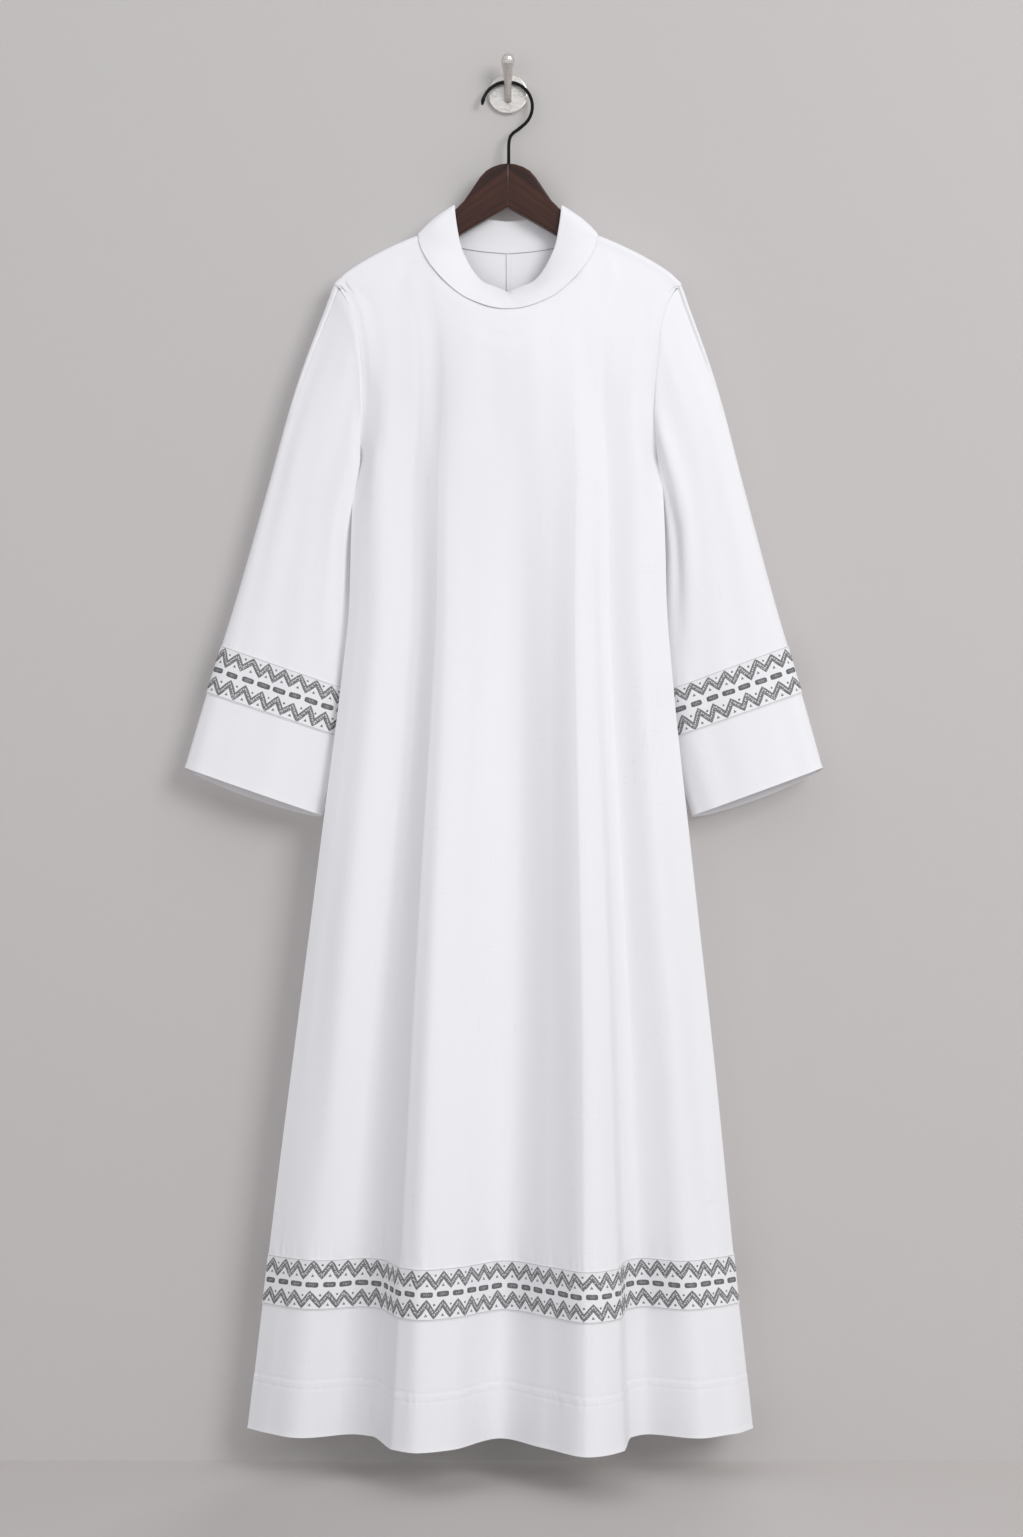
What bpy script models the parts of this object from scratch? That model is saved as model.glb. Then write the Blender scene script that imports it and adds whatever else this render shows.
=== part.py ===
"""A white alb with embroidered bands, hung on a wooden hanger from a wall peg.

Tables and sizes are in millimetres. x runs to the right as the robe is seen from the
front, "out" is the distance in front of the wall, and z is the height above the centre
of the wall plate. Left and right are the viewer's.
"""
import math
from collections import namedtuple

import bmesh
import bpy
import numpy as np
from mathutils import Vector

MM = 0.001

CLOTH = 1.3
SEAM_GAP = 0.3
TRIM = 1.0
TRIM_GAP = 0.4
COLLAR_PLY = 1.5

HANGER_OUT = 25.0
HANGER_THICKNESS = 13.0
SHOULDER_ROUND = 9.5
SHOULDER_SQUARENESS = 3.0

CHEST_Z = -330.0
WAIST_Z = -620.0
KNEE_Z = -1150.0
HEM_Z = -1612.0
UNDERARM_Z = -448.0
BAND_TOP_Z = -1402.0
BAND_BOTTOM_Z = -1462.0
HEM_STITCH_Z = -1545.0

NECK_X = 94.7
NECK_RISE = 0.37
NECK_TUCK = 9.5
NECK_TUCK_FADE = 6.0
CHEST_EASE = 1.3
EDGE_BLEND = 0.15
CREASE_ANGLE = 50.0

# Rows of the cloth: drops below the top edge, shares of the yoke, and levels below it.
TOP_DROPS = (0.0, 0.5, 2.5, 9.5)
YOKE_SHARES = (0.17, 0.37, 0.58, 0.79, 1.0)
SKIRT_LEVELS = (-485.0, -540.0, -605.0, -690.0, -790.0, -910.0, -1030.0, KNEE_Z, -1280.0,
                BAND_TOP_Z, -1432.0, BAND_BOTTOM_Z, HEM_STITCH_Z, HEM_Z)

# The edge of the front and back panels: the armhole down to the underarm, then the side seam.
SideLevel = namedtuple("SideLevel", "z left right front back")
SIDE_LINE = (
    SideLevel(-236.0, 209.0, 210.0, 25.0, 25.0),
    SideLevel(-244.0, 202.0, 202.0, 34.0, 16.0),
    SideLevel(-276.0, 186.0, 187.0, 47.0, 13.0),
    SideLevel(-307.0, 179.0, 181.0, 52.0, 12.0),
    SideLevel(-350.0, 175.0, 177.0, 53.0, 12.0),
    SideLevel(-384.0, 175.0, 175.5, 52.0, 13.0),
    SideLevel(-416.0, 178.0, 178.0, 46.0, 21.0),
    SideLevel(-436.0, 180.5, 180.5, 40.0, 29.0),
    SideLevel(-448.0, 182.5, 182.5, 35.0, 35.0),
    SideLevel(-495.0, 186.0, 186.0, 45.0, 45.0),
    SideLevel(-555.0, 188.0, 188.0, 52.0, 52.0),
    SideLevel(-620.0, 189.5, 189.5, 55.0, 55.0),
    SideLevel(-727.0, 200.0, 198.0, 57.0, 57.0),
    SideLevel(-895.0, 221.0, 215.5, 59.0, 59.0),
    SideLevel(-1134.0, 252.0, 242.0, 59.0, 59.0),
    SideLevel(-1421.0, 288.0, 271.0, 56.0, 56.0),
    SideLevel(-1612.0, 311.0, 292.0, 50.0, 42.0),
)

# Folds across a panel. at_top and at_hem are shares of the half width, strips is the number
# of cloth strips up to the next row, and the rest is how far out the cloth stands there.
Fold = namedtuple("Fold", "name at_top at_hem strips chest waist knee hem")
FRONT_FOLDS = (
    Fold("left seam", -1.00, -1.00, 2, 52.0, 55.0, 59.0, 50.0),
    Fold("left roll", -0.93, -0.92, 2, 56.0, 64.0, 72.0, 74.0),
    Fold("left crest", -0.80, -0.78, 3, 61.0, 73.0, 90.0, 98.0),
    Fold("left valley", -0.62, -0.59, 2, 63.0, 68.0, 76.0, 80.0),
    Fold("fold foot", -0.57, -0.51, 3, 65.0, 71.0, 84.0, 90.0),
    Fold("fold edge", -0.453, -0.43, 1, 70.0, 87.0, 125.0, 151.0),
    Fold("left neck", -0.4515, -0.412, 2, 70.1, 87.7, 128.0, 156.5),
    Fold("fold crest", -0.378, -0.34, 3, 73.0, 92.0, 138.0, 168.0),
    Fold("fold fall", -0.20, -0.21, 3, 78.0, 89.0, 122.0, 152.0),
    Fold("middle valley", 0.12, -0.03, 3, 80.0, 80.0, 88.0, 99.0),
    Fold("middle rise", 0.30, 0.15, 3, 76.0, 88.0, 116.0, 146.0),
    Fold("right neck", 0.449, 0.29, 1, 72.4, 98.7, 146.5, 184.0),
    Fold("main crest", 0.451, 0.31, 2, 72.3, 99.0, 148.0, 186.0),
    Fold("crease edge", 0.56, 0.455, 1, 67.0, 88.0, 131.0, 158.0),
    Fold("crease foot", 0.60, 0.49, 2, 65.0, 77.0, 97.0, 98.0),
    Fold("right valley", 0.66, 0.58, 2, 62.0, 67.0, 75.0, 80.0),
    Fold("right crest", 0.82, 0.77, 2, 61.0, 75.0, 92.0, 100.0),
    Fold("right roll", 0.93, 0.92, 2, 56.0, 64.0, 70.0, 74.0),
    Fold("right seam", 1.00, 1.00, 0, 52.0, 55.0, 59.0, 42.0),
)
BACK_FOLDS = (
    Fold("left seam", -1.00, -1.00, 2, 12.0, 55.0, 59.0, 50.0),
    Fold("left tuck", -0.93, -0.93, 2, 12.0, 48.0, 48.0, 34.0),
    Fold("left flat", -0.80, -0.80, 2, 12.0, 34.0, 24.0, 15.0),
    Fold("left fold", -0.58, -0.58, 2, 13.0, 18.0, 22.0, 32.0),
    Fold("left shoulder", -0.453, -0.46, 1, 13.0, 15.0, 15.5, 19.0),
    Fold("left neck", -0.4515, -0.44, 2, 13.0, 15.0, 15.0, 17.5),
    Fold("left hollow", -0.34, -0.35, 2, 13.0, 12.0, 11.0, 10.0),
    Fold("left inner", -0.16, -0.17, 2, 14.0, 16.0, 20.0, 27.0),
    Fold("centre", 0.00, 0.00, 2, 14.0, 13.0, 12.0, 14.0),
    Fold("right inner", 0.17, 0.16, 2, 14.0, 17.0, 23.0, 31.0),
    Fold("right hollow", 0.35, 0.34, 2, 13.0, 12.0, 11.0, 10.0),
    Fold("right neck", 0.4490, 0.44, 1, 13.0, 15.0, 15.5, 18.0),
    Fold("right shoulder", 0.451, 0.46, 2, 13.0, 15.0, 16.0, 20.0),
    Fold("right fold", 0.60, 0.58, 2, 13.0, 18.0, 24.0, 35.0),
    Fold("right flat", 0.80, 0.80, 2, 12.0, 34.0, 24.0, 15.0),
    Fold("right tuck", 0.93, 0.93, 2, 12.0, 48.0, 46.0, 30.0),
    Fold("right seam", 1.00, 1.00, 0, 12.0, 55.0, 59.0, 42.0),
)

# Heights of the panels' top edges over the distance from the middle.
TopPoint = namedtuple("TopPoint", "x z")
SHOULDER_LINE = (
    TopPoint(94.7, -171.7),
    TopPoint(107.0, -177.4),
    TopPoint(130.0, -187.0),
    TopPoint(157.0, -200.0),
    TopPoint(175.0, -210.0),
    TopPoint(195.0, -223.0),
    TopPoint(203.0, -230.0),
    TopPoint(210.0, -237.5),
)
FRONT_NECK = (
    TopPoint(0.0, -269.0),
    TopPoint(11.0, -268.4),
    TopPoint(27.0, -264.2),
    TopPoint(50.0, -253.5),
    TopPoint(70.0, -237.2),
    TopPoint(86.0, -216.6),
    TopPoint(90.5, -197.0),
    TopPoint(94.3, -176.5),
    TopPoint(94.7, -171.7),
)
BACK_NECK = (
    TopPoint(0.0, -196.5),
    TopPoint(30.0, -194.0),
    TopPoint(55.0, -190.0),
    TopPoint(75.0, -184.0),
    TopPoint(88.0, -179.0),
    TopPoint(94.3, -175.5),
    TopPoint(94.7, -171.7),
)

# Half of the collar, from the middle of the front round to the middle of the back. The fold
# is its upper edge and the edge is where its fall ends on the cloth.
CollarStation = namedtuple("CollarStation", "fold_x fold_out fold_z edge_x edge_z face")
COLLAR = (
    CollarStation(0.0, 40.0, -247.4, 0.0, -273.3, "front"),
    CollarStation(5.5, 40.0, -244.9, 11.0, -272.8, "front"),
    CollarStation(16.0, 40.0, -240.6, 29.0, -268.5, "front"),
    CollarStation(30.0, 39.5, -234.5, 53.5, -257.0, "front"),
    CollarStation(41.0, 38.5, -222.5, 74.2, -240.0, "front"),
    CollarStation(50.0, 39.0, -207.0, 91.0, -219.0, "front"),
    CollarStation(57.0, 39.5, -190.0, 102.0, -200.0, "front"),
    CollarStation(61.0, 39.0, -170.0, 106.3, -188.0, "front"),
    CollarStation(63.4, 37.5, -153.0, 107.0, -181.0, "front"),
    CollarStation(64.6, 33.2, -142.8, 107.3, -178.6, "front"),
    CollarStation(65.0, 25.0, -139.8, 107.3, -177.4, "top"),
    CollarStation(64.6, 17.0, -142.8, 107.3, -178.6, "back"),
    CollarStation(62.5, 13.6, -148.5, 106.5, -183.0, "back"),
    CollarStation(56.0, 12.2, -150.5, 99.0, -193.0, "back"),
    CollarStation(46.0, 11.0, -151.5, 86.0, -199.0, "back"),
    CollarStation(24.0, 10.2, -154.5, 47.0, -207.0, "back"),
    CollarStation(0.0, 10.0, -156.8, 0.0, -210.5, "back"),
)
COLLAR_STEPS = 2
FALL_SHARES = (0.03, 0.3, 0.62, 1.0)
CROWN_SHARES = (0.7, 0.3)
COLLAR_BOW = 2.8
COLLAR_CROWN = 0.8
COLLAR_GAP = 0.9
STAND_CLEARANCE = 3.5

# Sections of a sleeve, from the armhole to the cuff. Outer and inner are its two folded
# edges, middle and half_depth say how far out it lies and how thick it is.
Section = namedtuple("Section", "along outer_x outer_z inner_x inner_z middle half_depth drop")
SLEEVE = (
    Section(0.000, 209.5, -237.5, 189.5, -452.0, 32.0, 20.0, 0.0),
    Section(0.200, 251.0, -353.0, 190.0, -530.0, 31.5, 19.0, 0.0),
    Section(0.425, 287.5, -483.0, 188.0, -610.0, 31.0, 18.0, 0.0),
    Section(0.653, 325.5, -618.0, 183.5, -690.0, 32.0, 18.0, 0.0),
    Section(0.748, 342.5, -673.5, 181.5, -730.0, 32.5, 19.0, 1.0),
    Section(0.848, 360.6, -731.3, 195.4, -786.2, 33.0, 20.0, 3.0),
    Section(1.000, 387.2, -820.6, 224.3, -877.3, 34.0, 22.0, 10.0),
)
SLEEVE_SPREAD = {"left": 1.0, "right": 0.947}
SLEEVE_SEGMENTS = 24
SLEEVE_RINGS = (0.0, 0.04, 0.10, 0.18, 0.28, 0.40, 0.52, 0.64, 0.748, 0.798, 0.848, 0.93, 1.0)
SLEEVE_BAND = (0.748, 0.798, 0.848)
SLEEVE_FLATNESS = 0.8
ARMHOLE_GAP = 0.5
UNDERARM_GAP = 4.0
UNDERARM_START = -345.0
ARMHOLE_REACH = 0.35
SLEEVE_RIDGE = 5.0
SLEEVE_RIDGE_ANGLE = 118.0
SLEEVE_RIDGE_WIDTH = 16.0
SLEEVE_RIDGE_RISE = 0.12
SLEEVE_RIDGE_END = 0.9
SLEEVE_RIDGE_FADE = 0.6

# Outline of one hanger arm, from the mitre along the top to the tip and back underneath.
ARM_OUTLINE = (
    (9.0, -91.3),
    (18.7, -94.6),
    (26.5, -99.2),
    (34.0, -107.5),
    (43.5, -121.7),
    (52.5, -135.0),
    (63.0, -145.6),
    (80.0, -163.5),
    (95.0, -178.0),
    (107.0, -182.0),
    (130.0, -189.8),
    (157.0, -201.4),
    (175.0, -211.2),
    (189.0, -220.2),
    (195.5, -226.0),
    (197.0, -233.5),
    (193.5, -240.5),
    (187.0, -243.5),
    (60.0, -177.6),
)
ARM_TOP_Z = -90.2
ARM_UNDER_Z = -143.1
ARM_EDGE = 2.6

WIRE_RADIUS = 2.1
HOOK_RADIUS = 30.5
HOOK_CENTRE = (-0.8, -17.5)
HOOK_OUT = 9.6
HOOK_LEAN = 0.085
HOOK_START = 176.0
HOOK_END = -44.0
HOOK_STEPS = 22
HOOK_BEND = (
    (12.6, -46.0),
    (6.6, -50.2),
    (3.0, -54.6),
    (1.4, -60.5),
    (0.9, -68.0),
    (0.9, -78.0),
)
HOOK_STEM_END = ARM_TOP_Z + 0.4
HOOK_TIP = (0.7, 1.3)

PLATE_RADIUS = 24.6
PLATE_THICKNESS = 4.5
PLATE_RIM = 2.0
PLATE_SEGMENTS = 48
SCREW_RADIUS = 3.5
SCREW_DEPTH = 2.0
SCREW_SLOT = 0.9
SLOT_DEPTH = 0.7
SCREW_SEGMENTS = 20
SCREWS = (
    ("left", -16.3, 0.0, 80.0),
    ("right", 16.3, 0.0, 20.0),
    ("bottom", 0.0, -17.0, 95.0),
)

# Rings of the peg, from the plate up to the ball. Tilt turns a ring from lying flat on
# the plate to square across the peg.
PegRing = namedtuple("PegRing", "out z radius tilt")
PEG = (
    PegRing(4.8, -6.8, 5.2, 0.0),
    PegRing(7.0, -4.6, 5.1, 16.0),
    PegRing(10.0, -0.4, 4.9, 38.0),
    PegRing(14.1, 6.0, 4.7, 58.0),
    PegRing(18.1, 12.6, 4.9, 58.0),
    PegRing(22.2, 19.2, 5.5, 58.0),
    PegRing(25.7, 24.9, 6.5, 58.0),
    PegRing(28.4, 29.3, 7.8, 58.0),
    PegRing(30.8, 33.1, 8.2, 58.0),
    PegRing(32.9, 36.5, 7.3, 58.0),
    PegRing(34.5, 39.1, 5.1, 58.0),
    PegRing(35.2, 40.3, 2.2, 58.0),
)
PEG_SEGMENTS = 20


def smooth_curve(knots, values):
    """A curve through the points that never overshoots them."""
    x = np.asarray(knots, dtype=float)
    y = np.asarray(values, dtype=float)
    if x[0] > x[-1]:
        x = x[::-1]
        y = y[::-1]
    step = np.diff(x)
    slope = np.diff(y) / step
    tangent = np.zeros(len(x))
    tangent[0] = slope[0]
    tangent[-1] = slope[-1]
    for i in range(1, len(x) - 1):
        if slope[i - 1] * slope[i] > 0.0:
            near = 2.0 * step[i] + step[i - 1]
            far = step[i] + 2.0 * step[i - 1]
            tangent[i] = (near + far) / (near / slope[i - 1] + far / slope[i])

    def value(at):
        at = min(max(at, x[0]), x[-1])
        i = min(max(int(np.searchsorted(x, at)) - 1, 0), len(step) - 1)
        t = (at - x[i]) / step[i]
        start = (1.0 + 2.0 * t) * (1.0 - t) ** 2 * y[i]
        start += t * (1.0 - t) ** 2 * step[i] * tangent[i]
        end = t * t * (3.0 - 2.0 * t) * y[i + 1]
        end += t * t * (t - 1.0) * step[i] * tangent[i + 1]
        return float(start + end)

    return value


def ease(share):
    """Runs from 0 to 1 with a soft start and end."""
    t = min(max(share, 0.0), 1.0)
    return t * t * (3.0 - 2.0 * t)


def column(table, name):
    return [getattr(row, name) for row in table]


SIDE_Z = column(SIDE_LINE, "z")
HALF_WIDTH = {
    "left": smooth_curve(SIDE_Z, column(SIDE_LINE, "left")),
    "right": smooth_curve(SIDE_Z, column(SIDE_LINE, "right")),
}
SIDE_OUT = {
    "front": smooth_curve(SIDE_Z, column(SIDE_LINE, "front")),
    "back": smooth_curve(SIDE_Z, column(SIDE_LINE, "back")),
}
SEAM_LEVELS = [row for row in SIDE_LINE if row.z <= UNDERARM_Z]
SIDE_SEAM = smooth_curve(column(SEAM_LEVELS, "z"), column(SEAM_LEVELS, "front"))
SHOULDER = smooth_curve(column(SHOULDER_LINE, "x"), column(SHOULDER_LINE, "z"))
NECK = {
    "front": smooth_curve(column(FRONT_NECK, "x"), column(FRONT_NECK, "z")),
    "back": smooth_curve(column(BACK_NECK, "x"), column(BACK_NECK, "z")),
}
FOLDS = {"front": FRONT_FOLDS, "back": BACK_FOLDS}
FOLD_DEPTHS = {
    face: [smooth_curve((CHEST_Z, WAIST_Z, KNEE_Z, HEM_Z), row[4:]) for row in rows]
    for face, rows in FOLDS.items()
}
FORWARD = {"front": 1.0, "back": -1.0}


def half_width(side_share, z):
    side = "left" if side_share < 0.0 else "right"
    return HALF_WIDTH[side](z)


def shoulder_height(x):
    """The shoulder line, carried on inward over the neck opening."""
    if x >= NECK_X:
        return SHOULDER(x)
    return SHOULDER(NECK_X) + (NECK_X - x) * NECK_RISE


def top_height(face, u):
    x = abs(u) * half_width(u, SIDE_Z[0])
    if x >= NECK_X - 0.05:
        return SHOULDER(x)
    return NECK[face](x)


def fold_places(face, z):
    share = (CHEST_Z - z) / (CHEST_Z - HEM_Z)
    share = min(max(share, 0.0), 1.0)
    return [row.at_top + (row.at_hem - row.at_top) * share for row in FOLDS[face]]


def folded_out(face, u, z):
    level = min(z, CHEST_Z)
    depths = [depth(level) for depth in FOLD_DEPTHS[face]]
    return smooth_curve(fold_places(face, level), depths)(u)


def draped_out(face, u, z):
    """How far out the cloth hangs, before its side edge is brought to the seam."""
    forward = FORWARD[face]
    line = shoulder_height(abs(u) * half_width(u, SIDE_Z[0]))
    drop = max(line - z, 0.0)
    inset = max(1.0 - drop / SHOULDER_ROUND, 0.0)
    bulge = SHOULDER_ROUND * (1.0 - inset ** SHOULDER_SQUARENESS) ** (1.0 / SHOULDER_SQUARENESS)
    start = line - SHOULDER_ROUND
    share = min(max((start - z) / (start - CHEST_Z), 0.0), 1.0)
    lean = 1.0 - (1.0 - share) ** CHEST_EASE
    resting = HANGER_OUT + forward * bulge
    hanging = folded_out(face, u, z) - (HANGER_OUT + forward * SHOULDER_ROUND)
    return resting + hanging * lean


def side_out(face, z):
    """How far out the panels' edges lie. Below the underarm both share the side seam."""
    if z < UNDERARM_Z:
        return SIDE_SEAM(z)
    return SIDE_OUT[face](z)


def cloth_out(face, u, z):
    """How far out a panel's inner face lies at this share of its half width and height."""
    out = draped_out(face, u, z)
    x = abs(u) * half_width(u, SIDE_Z[0])
    if face == "front" and x < NECK_X:
        below = top_height(face, u) - z
        out -= NECK_TUCK * (1.0 - (x / NECK_X) ** 4) * math.exp(-max(below, 0.0) / NECK_TUCK_FADE)
    if z < SHOULDER(HALF_WIDTH["left"](z)) - SHOULDER_ROUND:
        edge = math.copysign(1.0, u)
        near = ease((abs(u) - 1.0 + EDGE_BLEND) / EDGE_BLEND)
        out += (side_out(face, z) - draped_out(face, edge, z)) * near
    return out


def strip_places(face):
    """Every cloth strip's edge, as its place at the top and at the hem."""
    rows = FOLDS[face]
    places = []
    for here, following in zip(rows, rows[1:]):
        for step in range(here.strips):
            share = step / here.strips
            places.append((here.at_top + (following.at_top - here.at_top) * share,
                           here.at_hem + (following.at_hem - here.at_hem) * share))
    places.append((rows[-1].at_top, rows[-1].at_hem))
    return places


def row_heights(top):
    heights = [top - drop for drop in TOP_DROPS]
    last = heights[-1]
    heights += [last + (UNDERARM_Z - last) * share for share in YOKE_SHARES]
    return heights + list(SKIRT_LEVELS)


def panel_point(face, at_top, at_hem, z):
    share = min(max((CHEST_Z - z) / (CHEST_Z - HEM_Z), 0.0), 1.0)
    u = at_top + (at_hem - at_top) * share
    out = cloth_out(face, u, z) + FORWARD[face] * SEAM_GAP / 2.0
    return (u * half_width(u, z), out, z)


def panel_grid(face, first=-1.0, last=1.0):
    """Rows of points over a panel's inner face, from its top edge to the hem."""
    places = [place for place in strip_places(face) if first - 1e-6 <= place[0] <= last + 1e-6]
    columns = []
    for at_top, at_hem in places:
        heights = row_heights(top_height(face, at_top))
        columns.append([panel_point(face, at_top, at_hem, z) for z in heights])
    return np.array(columns).transpose(1, 0, 2)


def grid_normals(grid, closed, outward):
    """Unit normals over a grid of points, on the side that outward names."""
    if closed:
        along = np.roll(grid, -1, axis=1) - np.roll(grid, 1, axis=1)
    else:
        along = np.gradient(grid, axis=1)
    down = np.gradient(grid, axis=0)
    normals = np.cross(along, down)
    lengths = np.linalg.norm(normals, axis=2, keepdims=True)
    return outward * normals / np.maximum(lengths, 1e-9)


def world(point):
    x, out, z = point
    return (x * MM, -out * MM, z * MM)


def add_object(name, mesh, material):
    mesh.materials.append(material)
    obj = bpy.data.objects.new(name, mesh)
    bpy.context.collection.objects.link(obj)
    obj.parent = bpy.data.objects["alb_robe"]
    return obj


def mesh_from_bmesh(name, bm):
    bmesh.ops.recalc_face_normals(bm, faces=bm.faces[:])
    if bm.calc_volume(signed=True) < 0.0:
        bmesh.ops.reverse_faces(bm, faces=bm.faces[:])
    mesh = bpy.data.meshes.new(name)
    bm.to_mesh(mesh)
    bm.free()
    mesh.shade_smooth()
    mesh.set_sharp_from_angle(angle=math.radians(CREASE_ANGLE))
    return mesh


def cloth_wall(name, grid, thickness, closed, outward, material):
    """A closed wall of cloth on a grid of inner points, thickened outward."""
    outer = grid + grid_normals(grid, closed, outward) * thickness
    bm = bmesh.new()
    inner_rows = [[bm.verts.new(world(point)) for point in row] for row in grid]
    outer_rows = [[bm.verts.new(world(point)) for point in row] for row in outer]
    count = grid.shape[1]
    spans = count if closed else count - 1
    for rows in (inner_rows, outer_rows):
        for upper, lower in zip(rows, rows[1:]):
            for i in range(spans):
                j = (i + 1) % count
                bm.faces.new((upper[i], upper[j], lower[j], lower[i]))
    for inner, out in ((inner_rows[0], outer_rows[0]), (inner_rows[-1], outer_rows[-1])):
        for i in range(spans):
            j = (i + 1) % count
            bm.faces.new((inner[i], inner[j], out[j], out[i]))
    if not closed:
        for i in (0, count - 1):
            for row in range(len(grid) - 1):
                bm.faces.new((inner_rows[row][i], inner_rows[row + 1][i],
                              outer_rows[row + 1][i], outer_rows[row][i]))
    return add_object(name, mesh_from_bmesh(name, bm), material)


def moved_out(grid, closed, outward, distance):
    return grid + grid_normals(grid, closed, outward) * distance


def make_front(material):
    grid = panel_grid("front")
    return cloth_wall("front_panel", grid, CLOTH, False, 1.0, material)


def make_backs(material):
    """The two back panels, which meet in a seam down the middle."""
    for name, first, last in (("back_panel_left", -1.0, 0.0), ("back_panel_right", 0.0, 1.0)):
        grid = panel_grid("back", first, last)
        middle = -1 if last == 0.0 else 0
        grid[:, middle, 0] = math.copysign(SEAM_GAP / 2.0, last - 0.5)
        cloth_wall(name, grid, CLOTH, False, -1.0, material)


def make_skirt_bands(material):
    """The embroidered band above the hem, on the panels' own points."""
    first = len(TOP_DROPS) + len(YOKE_SHARES) + SKIRT_LEVELS.index(BAND_TOP_Z)
    rows = slice(first, first + 3)
    for name, face in (("hem_band_front", "front"), ("hem_band_back", "back")):
        outward = FORWARD[face]
        base = moved_out(panel_grid(face), False, outward, CLOTH + TRIM_GAP)[rows]
        cloth_wall(name, base, TRIM, False, outward, material)


SLEEVE_ALONG = column(SLEEVE, "along")
SLEEVE_CURVES = {
    name: smooth_curve(SLEEVE_ALONG, column(SLEEVE, name)) for name in Section._fields[1:]
}


def armhole_edge(side, face):
    """The panel's armhole edge and how far its wall leans sideways, from the top down."""
    grid = panel_grid(face)
    leaning = grid_normals(grid, False, FORWARD[face])
    which = 0 if side == "left" else -1
    rows = slice(0, len(TOP_DROPS) + len(YOKE_SHARES))
    return grid[rows, which], leaning[rows, which]


def armhole_point(edges, angle):
    """A point on the sleeve's end, just outside the panels' armhole edge."""
    points, leaning = edges["front" if math.sin(angle) >= 0.0 else "back"]
    heights = points[::-1, 2]
    top = heights[-1]
    z = (top + UNDERARM_Z) / 2.0 + (top - UNDERARM_Z) / 2.0 * math.cos(angle)
    x = np.interp(z, heights, np.abs(points[::-1, 0]))
    out = np.interp(z, heights, points[::-1, 1])
    lean = np.interp(z, heights, np.abs(leaning[::-1, 0]))
    below = (UNDERARM_START - z) / (UNDERARM_START - UNDERARM_Z)
    return np.array((x + ARMHOLE_GAP + CLOTH * lean + UNDERARM_GAP * ease(below), out, z))


def loft_point(side, along, angle):
    size = {name: curve(along) for name, curve in SLEEVE_CURVES.items()}
    outer = np.array((size["outer_x"], size["outer_z"]))
    inner = np.array((size["inner_x"], size["inner_z"]))
    middle = (outer + inner) / 2.0
    half = (outer - inner) / 2.0
    cosine = math.cos(angle)
    sine = math.sin(angle)
    down = np.array((half[1], -half[0])) / np.linalg.norm(half)
    flat = middle + half * cosine + down * size["drop"] * max(-sine, 0.0)
    depth = math.copysign(abs(sine) ** SLEEVE_FLATNESS, sine) * size["half_depth"]
    away = (math.degrees(angle) - SLEEVE_RIDGE_ANGLE) / SLEEVE_RIDGE_WIDTH
    ridge = SLEEVE_RIDGE * math.exp(-away * away) * ease(along / SLEEVE_RIDGE_RISE)
    depth += ridge * ease((SLEEVE_RIDGE_END - along) / SLEEVE_RIDGE_FADE)
    armhole_x = SLEEVE[0].outer_x
    spread = SLEEVE_SPREAD[side]
    x = armhole_x + (flat[0] - armhole_x) * (spread if flat[0] > armhole_x else 1.0)
    return np.array((x, size["middle"] + depth, flat[1]))


def sleeve_grid(side):
    """Rings of points over a sleeve's inner face, from the armhole to the cuff."""
    edges = {face: armhole_edge(side, face) for face in FOLDS}
    rings = []
    for along in SLEEVE_RINGS:
        ring = []
        for step in range(SLEEVE_SEGMENTS):
            angle = 2.0 * math.pi * step / SLEEVE_SEGMENTS
            near = 1.0 - ease(along / ARMHOLE_REACH)
            fitting = armhole_point(edges, angle) - loft_point(side, 0.0, angle)
            ring.append(loft_point(side, along, angle) + fitting * near)
        rings.append(ring)
    grid = np.array(rings)
    if side == "left":
        grid[:, :, 0] *= -1.0
    return grid


def make_sleeve(side, cloth, trim):
    grid = sleeve_grid(side)
    outward = -1.0 if side == "right" else 1.0
    cloth_wall("sleeve_" + side, grid, CLOTH, True, outward, cloth)
    first = SLEEVE_RINGS.index(SLEEVE_BAND[0])
    base = moved_out(grid, True, outward, CLOTH + TRIM_GAP)[first:first + len(SLEEVE_BAND)]
    cloth_wall("sleeve_band_" + side, base, TRIM, True, outward, trim)


def surface_point(face, x, z, distance):
    """A point at a distance off a panel's inner face, at this place in the front view."""
    def place(px, pz):
        return np.array((px, cloth_out(face, px / HALF_WIDTH["right"](pz), pz), pz))

    step = 0.4
    across = place(x + step, z) - place(x - step, z)
    down = place(x, z - step) - place(x, z + step)
    normal = np.cross(across, down) * FORWARD[face]
    return place(x, z) + normal / np.linalg.norm(normal) * distance


def collar_edges(station):
    """The collar's fold and the outer face of its fall's edge, at one station."""
    fold = np.array((station.fold_x, station.fold_out, station.fold_z))
    lift = CLOTH + COLLAR_GAP + COLLAR_PLY
    if station.face == "top":
        edge = np.array((station.edge_x, HANGER_OUT, SHOULDER(station.edge_x) + lift))
    else:
        edge = surface_point(station.face, station.edge_x, station.edge_z, lift)
    return fold, edge


def round_trip(points):
    """A closed smooth line through the points, with steps between them."""
    line = []
    count = len(points)
    for i in range(count):
        before, here, after, beyond = (points[(i + k - 1) % count] for k in range(4))
        for step in range(COLLAR_STEPS):
            t = step / COLLAR_STEPS
            line.append(0.5 * (2.0 * here + (after - before) * t
                               + (2.0 * before - 5.0 * here + 4.0 * after - beyond) * t ** 2
                               + (3.0 * (here - after) + beyond - before) * t ** 3))
    return np.array(line)


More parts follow.
